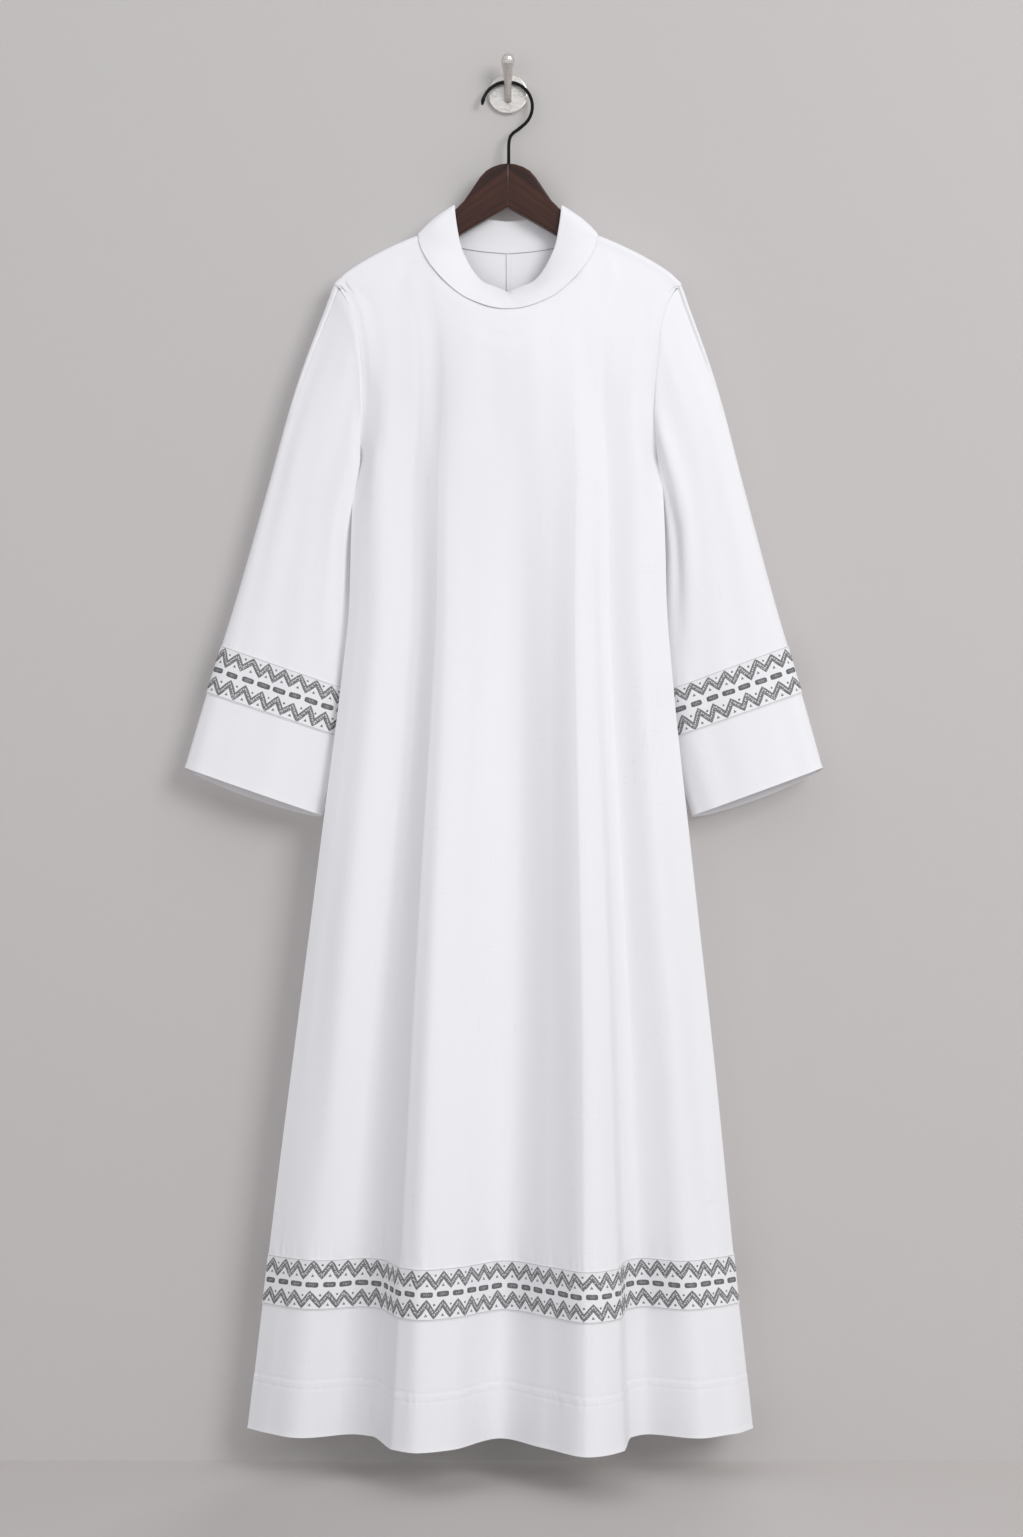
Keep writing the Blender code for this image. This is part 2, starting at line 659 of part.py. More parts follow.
def stand_share(fold, edge):
    """How far down the collar its stand reaches, which is just short of the panel's edge."""
    face = "front" if fold[1] > HANGER_OUT else "back"
    for step in range(100):
        x, _, z = fold + (edge - fold) * step / 100.0
        if abs(x) > NECK_X - STAND_CLEARANCE or z < NECK[face](abs(x)) + STAND_CLEARANCE:
            return step / 100.0
    return 1.0


def collar_profile(fold, edge, normal):
    """One cut through the folded collar: the fall outside, the shorter stand inside it."""
    reach = edge - fold
    up = -reach / np.linalg.norm(reach)
    end = stand_share(fold, edge)

    def at(share, depth):
        bow = COLLAR_BOW * math.sin(math.pi * share)
        return fold + reach * share + normal * (bow - depth)

    both = 2.0 * COLLAR_PLY
    outer = [at(share, 0.0) for share in FALL_SHARES]
    step = [at(share, COLLAR_PLY) for share in (1.0, end + 0.005)]
    inner = [at(share, both) for share in (end, end / 2.0, FALL_SHARES[0])]
    crown = [fold + up * COLLAR_CROWN - normal * both * share for share in CROWN_SHARES]
    return outer + step + inner + crown


def make_collar(material):
    """A folded collar: a ring that rises from the neck seam and falls back over it."""
    half = [collar_edges(station) for station in COLLAR]
    mirror = np.array((-1.0, 1.0, 1.0))
    other = [(fold * mirror, edge * mirror) for fold, edge in half[-2:0:-1]]
    folds = round_trip([pair[0] for pair in half + other])
    edges = round_trip([pair[1] for pair in half + other])
    middles = (folds + edges) / 2.0
    round_it = np.roll(middles, -1, axis=0) - np.roll(middles, 1, axis=0)
    normals = np.cross(round_it, edges - folds)
    normals /= np.linalg.norm(normals, axis=1, keepdims=True)
    bm = bmesh.new()
    loops = []
    for fold, edge, normal in zip(folds, edges, normals):
        loops.append([bm.verts.new(world(p)) for p in collar_profile(fold, edge, normal)])
    for here, after in zip(loops, loops[1:] + loops[:1]):
        for i in range(len(here)):
            j = (i + 1) % len(here)
            bm.faces.new((here[i], after[i], after[j], here[j]))
    add_object("collar", mesh_from_bmesh("collar", bm), material)


def make_hanger_arm(side, material):
    """One arm of the hanger, mitred at the middle and rounded along its edges."""
    sign = -1.0 if side == "left" else 1.0
    mitre = SEAM_GAP / 2.0
    outline = [(mitre, ARM_TOP_Z), *ARM_OUTLINE, (mitre, ARM_UNDER_Z)]
    bm = bmesh.new()
    back = HANGER_OUT - HANGER_THICKNESS / 2.0
    verts = [bm.verts.new(world((sign * x, back, z))) for x, z in outline]
    face = bm.faces.new(verts)
    extruded = bmesh.ops.extrude_face_region(bm, geom=[face])
    moved = [item for item in extruded["geom"] if isinstance(item, bmesh.types.BMVert)]
    bmesh.ops.translate(bm, verts=moved, vec=Vector((0.0, -HANGER_THICKNESS * MM, 0.0)))
    name = "hanger_arm_" + side
    obj = add_object(name, mesh_from_bmesh(name, bm), material)
    middle_edges = 2.0 * mitre * MM
    weights = obj.data.attributes.new("bevel_weight_edge", "FLOAT", "EDGE")
    for edge in obj.data.edges:
        a, b = (obj.data.vertices[v].co for v in edge.vertices)
        at_mitre = abs(a.x) < middle_edges and abs(b.x) < middle_edges
        along_rim = abs(a.y - b.y) < 1e-6 and not at_mitre
        weights.data[edge.index].value = 1.0 if along_rim else 0.0
    bevel = obj.modifiers.new("rounded edge", "BEVEL")
    bevel.limit_method = "WEIGHT"
    bevel.width = ARM_EDGE * MM
    bevel.segments = 2


def tube(name, points, radii, resolution, material):
    """A round bar along a line, as a curve with filled ends."""
    curve = bpy.data.curves.new(name, "CURVE")
    curve.dimensions = "3D"
    curve.bevel_depth = MM
    curve.bevel_resolution = resolution
    curve.use_fill_caps = True
    spline = curve.splines.new("POLY")
    spline.points.add(len(points) - 1)
    for item, point, radius in zip(spline.points, points, radii):
        item.co = (*world(point), 1.0)
        item.radius = radius
    spline.use_smooth = True
    curve.materials.append(material)
    obj = bpy.data.objects.new(name, curve)
    bpy.context.collection.objects.link(obj)
    obj.parent = bpy.data.objects["alb_robe"]
    return obj


def make_hook(material):
    """The hanger's wire hook: a long arc over the peg, then a bend down into the stem."""
    centre_x, centre_z = HOOK_CENTRE
    flat = []
    for step in range(HOOK_STEPS + 1):
        angle = math.radians(HOOK_START + (HOOK_END - HOOK_START) * step / HOOK_STEPS)
        flat.append((centre_x + HOOK_RADIUS * math.cos(angle),
                     centre_z + HOOK_RADIUS * math.sin(angle)))
    flat += [*HOOK_BEND, (HOOK_BEND[-1][0], HOOK_STEM_END)]
    top = centre_z + HOOK_RADIUS
    points = [(x, HOOK_OUT + (top - z) * HOOK_LEAN, z) for x, z in flat]
    radii = [WIRE_RADIUS] * len(points)
    for i, share in enumerate(HOOK_TIP):
        radii[i] = share * WIRE_RADIUS
    tube("hanger_hook", points, radii, 2, material)


def make_peg(material):
    """The club-shaped peg, which leans up and out from the plate."""
    bm = bmesh.new()
    loops = []
    for row in PEG:
        tilt = math.radians(row.tilt)
        loop = []
        for step in range(PEG_SEGMENTS):
            angle = 2.0 * math.pi * step / PEG_SEGMENTS
            across = row.radius * math.cos(angle)
            up = row.radius * math.sin(angle)
            point = (across, row.out - up * math.sin(tilt), row.z + up * math.cos(tilt))
            loop.append(bm.verts.new(world(point)))
        loops.append(loop)
    for here, after in zip(loops, loops[1:]):
        for i in range(PEG_SEGMENTS):
            j = (i + 1) % PEG_SEGMENTS
            bm.faces.new((here[i], here[j], after[j], after[i]))
    bm.faces.new(loops[0])
    bm.faces.new(loops[-1])
    add_object("wall_peg", mesh_from_bmesh("wall_peg", bm), material)


def cylinder(name, radius, depth, segments, centre_out, x, z):
    """A cylinder whose axis points out from the wall."""
    bm = bmesh.new()
    bmesh.ops.create_cone(bm, cap_ends=True, segments=segments, radius1=radius * MM,
                          radius2=radius * MM, depth=depth * MM)
    bmesh.ops.rotate(bm, verts=bm.verts[:], cent=(0.0, 0.0, 0.0),
                     matrix=Vector((0.0, 0.0, 1.0)).rotation_difference(
                         Vector((0.0, -1.0, 0.0))).to_matrix())
    bmesh.ops.translate(bm, verts=bm.verts[:], vec=Vector(world((x, centre_out, z))))
    return mesh_from_bmesh(name, bm)


def add_cutter(name, mesh, target):
    """A hidden shape that is cut out of the target."""
    obj = bpy.data.objects.new(name, mesh)
    bpy.context.collection.objects.link(obj)
    obj.parent = bpy.data.objects["alb_robe"]
    obj.hide_render = True
    obj.display_type = "WIRE"
    cut = target.modifiers.new(name, "BOOLEAN")
    cut.operation = "DIFFERENCE"
    cut.solver = "EXACT"
    cut.object = obj


def make_wall_plate(material):
    """The round plate against the wall, with a pocket for each screw head."""
    mesh = cylinder("wall_plate", PLATE_RADIUS, PLATE_THICKNESS, PLATE_SEGMENTS,
                    PLATE_THICKNESS / 2.0, 0.0, 0.0)
    plate = add_object("wall_plate", mesh, material)
    weights = plate.data.attributes.new("bevel_weight_edge", "FLOAT", "EDGE")
    for edge in plate.data.edges:
        ends = [plate.data.vertices[v].co.y for v in edge.vertices]
        weights.data[edge.index].value = 1.0 if max(ends) < -PLATE_THICKNESS * MM * 0.9 else 0.0
    bevel = plate.modifiers.new("rounded rim", "BEVEL")
    bevel.limit_method = "WEIGHT"
    bevel.width = PLATE_RIM * MM
    bevel.segments = 3
    for name, x, z, _ in SCREWS:
        pocket = cylinder("pocket_" + name, SCREW_RADIUS + SEAM_GAP, 2.0 * SCREW_DEPTH,
                          SCREW_SEGMENTS, PLATE_THICKNESS, x, z)
        add_cutter("pocket_" + name, pocket, plate)


def make_screws(material):
    """Slotted screw heads, seated in the plate's pockets."""
    height = SCREW_DEPTH - SEAM_GAP
    for name, x, z, turn in SCREWS:
        middle = PLATE_THICKNESS - height / 2.0
        head = cylinder("wall_screw_" + name, SCREW_RADIUS, height, SCREW_SEGMENTS, middle, x, z)
        screw = add_object("wall_screw_" + name, head, material)
        bm = bmesh.new()
        bmesh.ops.create_cube(bm, size=1.0)
        size = Vector((4.0 * SCREW_RADIUS, 2.0 * SLOT_DEPTH, SCREW_SLOT)) * MM
        bmesh.ops.scale(bm, vec=size, verts=bm.verts[:])
        spin = Vector((1.0, 0.0, 0.0)).rotation_difference(
            Vector((math.cos(math.radians(turn)), 0.0, math.sin(math.radians(turn)))))
        bmesh.ops.rotate(bm, verts=bm.verts[:], cent=(0.0, 0.0, 0.0), matrix=spin.to_matrix())
        bmesh.ops.translate(bm, verts=bm.verts[:], vec=Vector(world((x, PLATE_THICKNESS, z))))
        add_cutter("slot_" + name, mesh_from_bmesh("slot_" + name, bm), screw)


def plain_material(name, colour, roughness, metallic):
    material = bpy.data.materials.new(name)
    material.use_nodes = True
    shader = material.node_tree.nodes["Principled BSDF"]
    shader.inputs["Base Color"].default_value = (*colour, 1.0)
    shader.inputs["Roughness"].default_value = roughness
    shader.inputs["Metallic"].default_value = metallic
    return material


def main():
    for obj in list(bpy.data.objects):
        bpy.data.objects.remove(obj, do_unlink=True)
    root = bpy.data.objects.new("alb_robe", None)
    bpy.context.collection.objects.link(root)

    cloth = plain_material("white_cloth", (0.84, 0.84, 0.86), 0.85, 0.0)
    trim = plain_material("grey_embroidery", (0.55, 0.56, 0.58), 0.9, 0.0)
    wood = plain_material("dark_walnut", (0.055, 0.025, 0.017), 0.4, 0.0)
    wire = plain_material("black_steel", (0.03, 0.03, 0.03), 0.3, 1.0)
    nickel = plain_material("satin_nickel", (0.45, 0.42, 0.38), 0.3, 1.0)

    make_front(cloth)
    make_backs(cloth)
    make_skirt_bands(trim)
    make_sleeve("left", cloth, trim)
    make_sleeve("right", cloth, trim)
    make_collar(cloth)
    make_hanger_arm("left", wood)
    make_hanger_arm("right", wood)
    make_hook(wire)
    make_wall_plate(nickel)
    make_screws(nickel)
    make_peg(nickel)


main()
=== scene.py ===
"""Looks of the white alb: cloth, woven bands, sewing, wood and metal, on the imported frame.

Tables and sizes are in millimetres. "out" is the distance in front of the wall.
"""

import math

import bpy
import numpy as np
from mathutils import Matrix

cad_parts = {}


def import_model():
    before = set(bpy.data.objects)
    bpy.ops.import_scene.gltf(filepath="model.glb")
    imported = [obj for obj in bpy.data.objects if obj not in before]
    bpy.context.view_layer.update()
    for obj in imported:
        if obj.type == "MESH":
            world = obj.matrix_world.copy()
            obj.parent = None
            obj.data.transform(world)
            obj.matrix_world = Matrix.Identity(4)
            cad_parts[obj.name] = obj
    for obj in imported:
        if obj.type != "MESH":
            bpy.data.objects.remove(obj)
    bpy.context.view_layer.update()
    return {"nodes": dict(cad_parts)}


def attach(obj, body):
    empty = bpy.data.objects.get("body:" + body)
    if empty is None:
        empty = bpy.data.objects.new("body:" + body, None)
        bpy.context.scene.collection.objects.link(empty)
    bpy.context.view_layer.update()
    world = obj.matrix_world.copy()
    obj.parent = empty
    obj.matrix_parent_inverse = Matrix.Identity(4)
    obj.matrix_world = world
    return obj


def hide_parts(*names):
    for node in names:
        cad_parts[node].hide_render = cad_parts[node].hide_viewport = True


MM = 0.001
rng = np.random.default_rng(7)

CLOTH = 1.3
HANGER_OUT = 25.0
SHOULDER_ROUND = 9.5
SHOULDER_SQUARENESS = 3.0
CHEST_Z = -330.0
WAIST_Z = -620.0
KNEE_Z = -1150.0
HEM_Z = -1612.0
UNDERARM_Z = -448.0
BAND_TOP_Z = -1402.0
BAND_BOTTOM_Z = -1462.0
HEM_STITCH_Z = -1545.0
NECK_X = 94.7
NECK_RISE = 0.37
NECK_TUCK = 9.5
NECK_TUCK_FADE = 6.0
CHEST_EASE = 1.3
EDGE_BLEND = 0.15

# z, left half width, right half width, how far out the front edge and the back edge lie.
SIDE_LINE = np.array((
    (-236.0, 209.0, 210.0, 25.0, 25.0),
    (-244.0, 202.0, 202.0, 34.0, 16.0),
    (-276.0, 186.0, 187.0, 47.0, 13.0),
    (-307.0, 179.0, 181.0, 52.0, 12.0),
    (-350.0, 175.0, 177.0, 53.0, 12.0),
    (-384.0, 175.0, 175.5, 52.0, 13.0),
    (-416.0, 178.0, 178.0, 46.0, 21.0),
    (-436.0, 180.5, 180.5, 40.0, 29.0),
    (-448.0, 182.5, 182.5, 35.0, 35.0),
    (-495.0, 186.0, 186.0, 45.0, 45.0),
    (-555.0, 188.0, 188.0, 52.0, 52.0),
    (-620.0, 189.5, 189.5, 55.0, 55.0),
    (-727.0, 200.0, 198.0, 57.0, 57.0),
    (-895.0, 221.0, 215.5, 59.0, 59.0),
    (-1134.0, 252.0, 242.0, 59.0, 59.0),
    (-1421.0, 288.0, 271.0, 56.0, 56.0),
    (-1612.0, 311.0, 292.0, 50.0, 42.0),
))
Z, LEFT, RIGHT, FRONT, BACK = range(5)

# Share of the half width at the top and at the hem, strips up to the next row, and how far
# out the cloth stands at the chest, waist, knee and hem.
FOLDS = {
    FRONT: np.array((
        (-1.00, -1.00, 2, 52.0, 55.0, 59.0, 50.0),
        (-0.93, -0.92, 2, 56.0, 64.0, 72.0, 74.0),
        (-0.80, -0.78, 3, 61.0, 73.0, 90.0, 98.0),
        (-0.62, -0.59, 2, 63.0, 68.0, 76.0, 80.0),
        (-0.57, -0.51, 3, 65.0, 71.0, 84.0, 90.0),
        (-0.453, -0.43, 1, 70.0, 87.0, 125.0, 151.0),
        (-0.4515, -0.412, 2, 70.1, 87.7, 128.0, 156.5),
        (-0.378, -0.34, 3, 73.0, 92.0, 138.0, 168.0),
        (-0.20, -0.21, 3, 78.0, 89.0, 122.0, 152.0),
        (0.12, -0.03, 3, 80.0, 80.0, 88.0, 99.0),
        (0.30, 0.15, 3, 76.0, 88.0, 116.0, 146.0),
        (0.449, 0.29, 1, 72.4, 98.7, 146.5, 184.0),
        (0.451, 0.31, 2, 72.3, 99.0, 148.0, 186.0),
        (0.56, 0.455, 1, 67.0, 88.0, 131.0, 158.0),
        (0.60, 0.49, 2, 65.0, 77.0, 97.0, 98.0),
        (0.66, 0.58, 2, 62.0, 67.0, 75.0, 80.0),
        (0.82, 0.77, 2, 61.0, 75.0, 92.0, 100.0),
        (0.93, 0.92, 2, 56.0, 64.0, 70.0, 74.0),
        (1.00, 1.00, 0, 52.0, 55.0, 59.0, 42.0),
    )),
    BACK: np.array((
        (-1.00, -1.00, 2, 12.0, 55.0, 59.0, 50.0),
        (-0.93, -0.93, 2, 12.0, 48.0, 48.0, 34.0),
        (-0.80, -0.80, 2, 12.0, 34.0, 24.0, 15.0),
        (-0.58, -0.58, 2, 13.0, 18.0, 22.0, 32.0),
        (-0.453, -0.46, 1, 13.0, 15.0, 15.5, 19.0),
        (-0.4515, -0.44, 2, 13.0, 15.0, 15.0, 17.5),
        (-0.34, -0.35, 2, 13.0, 12.0, 11.0, 10.0),
        (-0.16, -0.17, 2, 14.0, 16.0, 20.0, 27.0),
        (0.00, 0.00, 2, 14.0, 13.0, 12.0, 14.0),
        (0.17, 0.16, 2, 14.0, 17.0, 23.0, 31.0),
        (0.35, 0.34, 2, 13.0, 12.0, 11.0, 10.0),
        (0.449, 0.44, 1, 13.0, 15.0, 15.5, 18.0),
        (0.451, 0.46, 2, 13.0, 15.0, 16.0, 20.0),
        (0.60, 0.58, 2, 13.0, 18.0, 24.0, 35.0),
        (0.80, 0.80, 2, 12.0, 34.0, 24.0, 15.0),
        (0.93, 0.93, 2, 12.0, 48.0, 46.0, 30.0),
        (1.00, 1.00, 0, 12.0, 55.0, 59.0, 42.0),
    )),
}
FORWARD = {FRONT: 1.0, BACK: -1.0}

# x and z of the panels' top edges.
SHOULDER_LINE = np.array((
    (94.7, -171.7), (107.0, -177.4), (130.0, -187.0), (157.0, -200.0),
    (175.0, -210.0), (195.0, -223.0), (203.0, -230.0), (210.0, -237.5),
))
NECK_LINE = {
    FRONT: np.array((
        (0.0, -269.0), (11.0, -268.4), (27.0, -264.2), (50.0, -253.5), (70.0, -237.2),
        (86.0, -216.6), (90.5, -197.0), (94.3, -176.5), (94.7, -171.7),
    )),
    BACK: np.array((
        (0.0, -196.5), (30.0, -194.0), (55.0, -190.0), (75.0, -184.0),
        (88.0, -179.0), (94.3, -175.5), (94.7, -171.7),
    )),
}

# The collar's fold (x, out, z), its fall's edge (x, z) and the panel that the edge lies on.
COLLAR = (
    (0.0, 40.0, -247.4, 0.0, -273.3, FRONT),
    (5.5, 40.0, -244.9, 11.0, -272.8, FRONT),
    (16.0, 40.0, -240.6, 29.0, -268.5, FRONT),
    (30.0, 39.5, -234.5, 53.5, -257.0, FRONT),
    (41.0, 38.5, -222.5, 74.2, -240.0, FRONT),
    (50.0, 39.0, -207.0, 91.0, -219.0, FRONT),
    (57.0, 39.5, -190.0, 102.0, -200.0, FRONT),
    (61.0, 39.0, -170.0, 106.3, -188.0, FRONT),
    (63.4, 37.5, -153.0, 107.0, -181.0, FRONT),
    (64.6, 33.2, -142.8, 107.3, -178.6, FRONT),
    (65.0, 25.0, -139.8, 107.3, -177.4, None),
    (64.6, 17.0, -142.8, 107.3, -178.6, BACK),
    (62.5, 13.6, -148.5, 106.5, -183.0, BACK),
    (56.0, 12.2, -150.5, 99.0, -193.0, BACK),
    (46.0, 11.0, -151.5, 86.0, -199.0, BACK),
    (24.0, 10.2, -154.5, 47.0, -207.0, BACK),
    (0.0, 10.0, -156.8, 0.0, -210.5, BACK),
)
COLLAR_LIFT = 1.7
COLLAR_BOW = 2.8

# Along the sleeve, its outer fold (x, z), its inner fold (x, z), out, half depth, back drop.
SLEEVE = np.array((
    (0.000, 209.5, -237.5, 189.5, -452.0, 32.0, 20.0, 0.0),
    (0.200, 251.0, -353.0, 190.0, -530.0, 31.5, 19.0, 0.0),
    (0.425, 287.5, -483.0, 188.0, -610.0, 31.0, 18.0, 0.0),
    (0.653, 325.5, -618.0, 183.5, -690.0, 32.0, 18.0, 0.0),
    (0.748, 342.5, -673.5, 181.5, -730.0, 32.5, 19.0, 1.0),
    (0.848, 360.6, -731.3, 195.4, -786.2, 33.0, 20.0, 3.0),
    (1.000, 387.2, -820.6, 224.3, -877.3, 34.0, 22.0, 10.0),
))
SLEEVE_SPREAD = {"left": 1.0, "right": 0.947}
SLEEVE_FLATNESS = 0.8
SLEEVE_RIDGE = 5.0
SLEEVE_RIDGE_ANGLE = 118.0
SLEEVE_RIDGE_WIDTH = 16.0
ARMHOLE_REACH = 0.35
# Pleats that run down a sleeve: angle round it, width in degrees and height.
SLEEVE_PLEATS = {
    "left": ((139.0, 9.0, 4.2), (113.0, 13.0, -3.4), (62.0, 14.0, 0.9), (232.0, 12.0, 2.2)),
    "right": ((132.0, 8.0, -3.2), (112.0, 9.0, 1.6), (70.0, 12.0, 0.8), (224.0, 14.0, 2.4)),
}
SLEEVE_BAND = (0.748, 0.848)
# Columns of the scene's panels for each strip of a fold.
FINER = 7
PLY = 0.8
COLLAR_PLY = 0.7
BAND_HALF = 30.0
BAND_LIFT = 2.3
# Distance across the band and height of each row of stitching.
ZIGZAG_ROWS = (17.2, -17.2)
ZIGZAG_SWING = 6.6
ZIGZAG_WIDTH = 6.6
PERIOD = 20.0
DASH = (15.4, 6.4)
EDGE_THREADS = (28.6, -28.6)
# Distance across the band and how far it bulges there.
BAND_PROFILE = np.array((
    (30.0, 0.0), (29.2, 0.25), (28.4, 0.3), (27.0, 0.0), (18.0, 0.0), (9.0, 0.0), (0.0, 0.0),
    (-9.0, 0.0), (-18.0, 0.0), (-27.0, 0.0), (-28.4, 0.3), (-29.2, 0.25), (-30.0, 0.0),
))
# How deep raised stitches are rooted, and a ribbon's section as (share across, share of rise).
ROOT = -0.35
RIBBON_SECTION = ((-1.0, ROOT), (-1.0, 0.05), (-0.6, 0.9), (0.0, 1.0),
                  (0.6, 0.9), (1.0, 0.05), (1.0, ROOT))
MITRE_LIMIT = 1.3
DOT_RISE = 5.2
DOT_RADIUS = 1.35
TRIANGLE_DROP = 6.6
TRIANGLE = ((-1.9, -1.2), (1.9, -1.2), (0.0, 2.2))
# Dark and light colour of each thread, the length of its loops and its outline's colour.
THREADS = {
    "grey_thread": ((0.17, 0.17, 0.175), (0.72, 0.72, 0.73), 2.7, (0.15, 0.15, 0.155)),
    "dark_thread": ((0.14, 0.14, 0.145), (0.40, 0.40, 0.41), 2.0, (0.10, 0.10, 0.105)),
    "edge_thread": ((0.42, 0.42, 0.43), (0.62, 0.62, 0.63), 1.2, (0.5, 0.5, 0.51)),
    "white_thread": ((0.74, 0.74, 0.76), (0.86, 0.86, 0.88), 1.0, (0.7, 0.7, 0.72)),
    # The seam thread's grey is painted shade: it stands for the thin shadow line where the
    # collar's stand meets the back.
    "seam_shade_thread": ((0.40, 0.39, 0.39), (0.50, 0.49, 0.49), 1.0, (0.40, 0.39, 0.39)),
}
STITCH_PITCH = 4.2
ARMS = ("hanger_arm_left", "hanger_arm_right")

# Soft creases: panel, x and z where each starts and ends, width, height (below 0 is a trough).
CREASES = (
    (FRONT, -118.0, -215.0, -108.0, -430.0, 14.0, 1.5),
    (FRONT, -88.0, -262.0, -86.0, -470.0, 12.0, -1.4),
    (FRONT, -58.0, -290.0, -62.0, -520.0, 17.0, 1.4),
    (FRONT, -20.0, -300.0, -14.0, -470.0, 13.0, -1.0),
    (FRONT, 34.0, -292.0, 30.0, -500.0, 15.0, 1.2),
    (FRONT, 84.0, -262.0, 96.0, -430.0, 13.0, -1.4),
    (FRONT, 112.0, -225.0, 128.0, -400.0, 14.0, 1.5),
    (FRONT, 118.0, -200.0, 136.0, -262.0, 7.0, 1.2),
    (FRONT, 98.0, -218.0, 122.0, -300.0, 8.0, -1.0),
    (FRONT, -112.0, -198.0, -140.0, -262.0, 8.0, -1.0),
    (FRONT, -172.0, -330.0, -150.0, -470.0, 11.0, -1.4),
    (FRONT, 174.0, -330.0, 156.0, -480.0, 11.0, -1.2),
    (FRONT, -222.0, -1010.0, -262.0, -1560.0, 13.0, 0.9),
    (FRONT, -206.0, -1180.0, -234.0, -1600.0, 9.0, -0.8),
    (FRONT, -70.0, -900.0, -66.0, -1500.0, 15.0, -0.7),
    (FRONT, 10.0, -820.0, -4.0, -1500.0, 12.0, 0.7),
    (FRONT, 66.0, -980.0, 70.0, -1590.0, 13.0, -0.7),
    (FRONT, 196.0, -960.0, 232.0, -1560.0, 14.0, 0.9),
    (FRONT, 176.0, -1150.0, 196.0, -1600.0, 8.0, -0.6),
    (BACK, -120.0, -215.0, -104.0, -480.0, 16.0, 1.0),
    (BACK, -70.0, -225.0, -76.0, -560.0, 13.0, -0.9),
    (BACK, -30.0, -230.0, -34.0, -520.0, 15.0, 0.9),
    (BACK, 36.0, -228.0, 30.0, -500.0, 13.0, -0.8),
    (BACK, 84.0, -222.0, 92.0, -560.0, 16.0, 1.0),
    (BACK, 130.0, -220.0, 118.0, -430.0, 12.0, -0.8),
    (BACK, -232.0, -1010.0, -262.0, -1560.0, 13.0, 0.9),
    (BACK, -74.0, -760.0, -88.0, -1580.0, 16.0, 0.9),
    (BACK, 60.0, -820.0, 78.0, -1590.0, 14.0, -0.9),
    (BACK, 206.0, -960.0, 238.0, -1570.0, 14.0, 0.9),
)
RIPPLE = 0.45
CHEST_REACH = 110.0
CHEST_STEPS = (-40.0, -20.0, 0.0, 20.0, 40.0)
# Sharp edges of the large folds: row of the front's folds, height and width.
PRESSED_EDGES = ((5, 0.9, 2.6), (13, 0.7, 2.4))
ARMHOLE_HALF_WIDTH = 178.0
# Past this share of the width, a panel's slope is taken from its inner side.
PANEL_EDGE = 0.995

# The hem's second layer and rim, and dips as (distance below the stitches, depth, width).
HEM_LAYER = 0.55
HEM_RIM = 0.4
HEM_PUCKER = 0.4
HEM_DIPS = ((0.0, 0.5, 1.6), (10.0, 0.3, 1.3))
BAND_GATHER = 0.5

# Drops of the first rows of a panel, rows down to the underarm, and the height at the end
# of each further stretch with its number of rows.
SHOULDER_DROPS = (0.0, 0.25, 0.8, 1.8, 3.4, 5.5, 7.6, 9.5)
YOKE_ROWS = 28
PANEL_STRETCHES = (
    (BAND_TOP_Z + 16.0, 69), (BAND_BOTTOM_Z - 4.0, 23), (HEM_STITCH_Z + 6.0, 10),
    (HEM_STITCH_Z - 18.0, 18), (HEM_Z + 4.0, 9),
)
SLEEVE_COLUMNS = 132

# The collar's rows: shares down the fall, turns round the fold and shares down the stand.
FALL_SHARES = (1.0, 0.985, 0.95, 0.9, 0.82, 0.72, 0.6, 0.48, 0.36, 0.25, 0.16, 0.09, 0.04)
FOLD_TURNS = (0.15, 0.35, 0.5, 0.65, 0.85)
STAND_SHARES = (0.04, 0.1, 0.2, 0.32, 0.45, 0.58, 0.68, 0.74, 0.78)
FOLD_RADIUS = 1.5

# The studio, in metres.
LENS = 62.47
CAMERA = (0.0043, -3.25, -0.8212)
WALL_Y = 0.0008
WALL_TOP = 4.5
FLOOR_Z = -1.665
ROOM_HALF_WIDTH = 6.0
ROOM_BEHIND = 6.0
ROOM_AHEAD = -7.0
# Name, place, aim, size and power of each lamp.
LAMPS = (
    ("key", (3.1, -4.4, 1.5), (0.0, 0.0, -0.95), 2.4, 138.0),
    ("fill", (-2.6, -4.6, -0.9), (0.0, 0.0, -1.0), 3.0, 30.0),
    ("rear", (1.2, 4.2, 0.2), (0.0, 0.0, -0.9), 2.6, 90.0),
)


def smooth_values(knots, values, at):
    """Values of smooth curves that never overshoot their points, one curve for each column."""
    at = np.asarray(at, float)
    x = np.asarray(knots, float)
    y = np.asarray(values, float)
    x = np.broadcast_to(x[:, None], (len(x), at.size)) if x.ndim == 1 else x
    y = np.broadcast_to(y[:, None], (len(y), at.size)) if y.ndim == 1 else y
    if x[0, 0] > x[-1, 0]:
        x, y = x[::-1], y[::-1]
    step = np.diff(x, axis=0)
    slope = np.diff(y, axis=0) / step
    tangent = np.empty_like(y)
    tangent[0], tangent[-1] = slope[0], slope[-1]
    before, after = slope[:-1], slope[1:]
    near = 2.0 * step[1:] + step[:-1]
    far = step[1:] + 2.0 * step[:-1]
    rising = before * after > 0.0
    safe_before = np.where(rising, before, 1.0)
    safe_after = np.where(rising, after, 1.0)
    mean = (near + far) / (near / safe_before + far / safe_after)
    tangent[1:-1] = np.where(rising, mean, 0.0)
    place = np.clip(at, x[0], x[-1])
    i = np.clip((x <= place).sum(axis=0) - 1, 0, len(step) - 1)
    column = np.arange(at.size)
    h = step[i, column]
    t = (place - x[i, column]) / h
    start = (1.0 + 2.0 * t) * (1.0 - t) ** 2 * y[i, column]
    start += t * (1.0 - t) ** 2 * h * tangent[i, column]
    end = t * t * (3.0 - 2.0 * t) * y[i + 1, column]
    end += t * t * (t - 1.0) * h * tangent[i + 1, column]
    return start + end


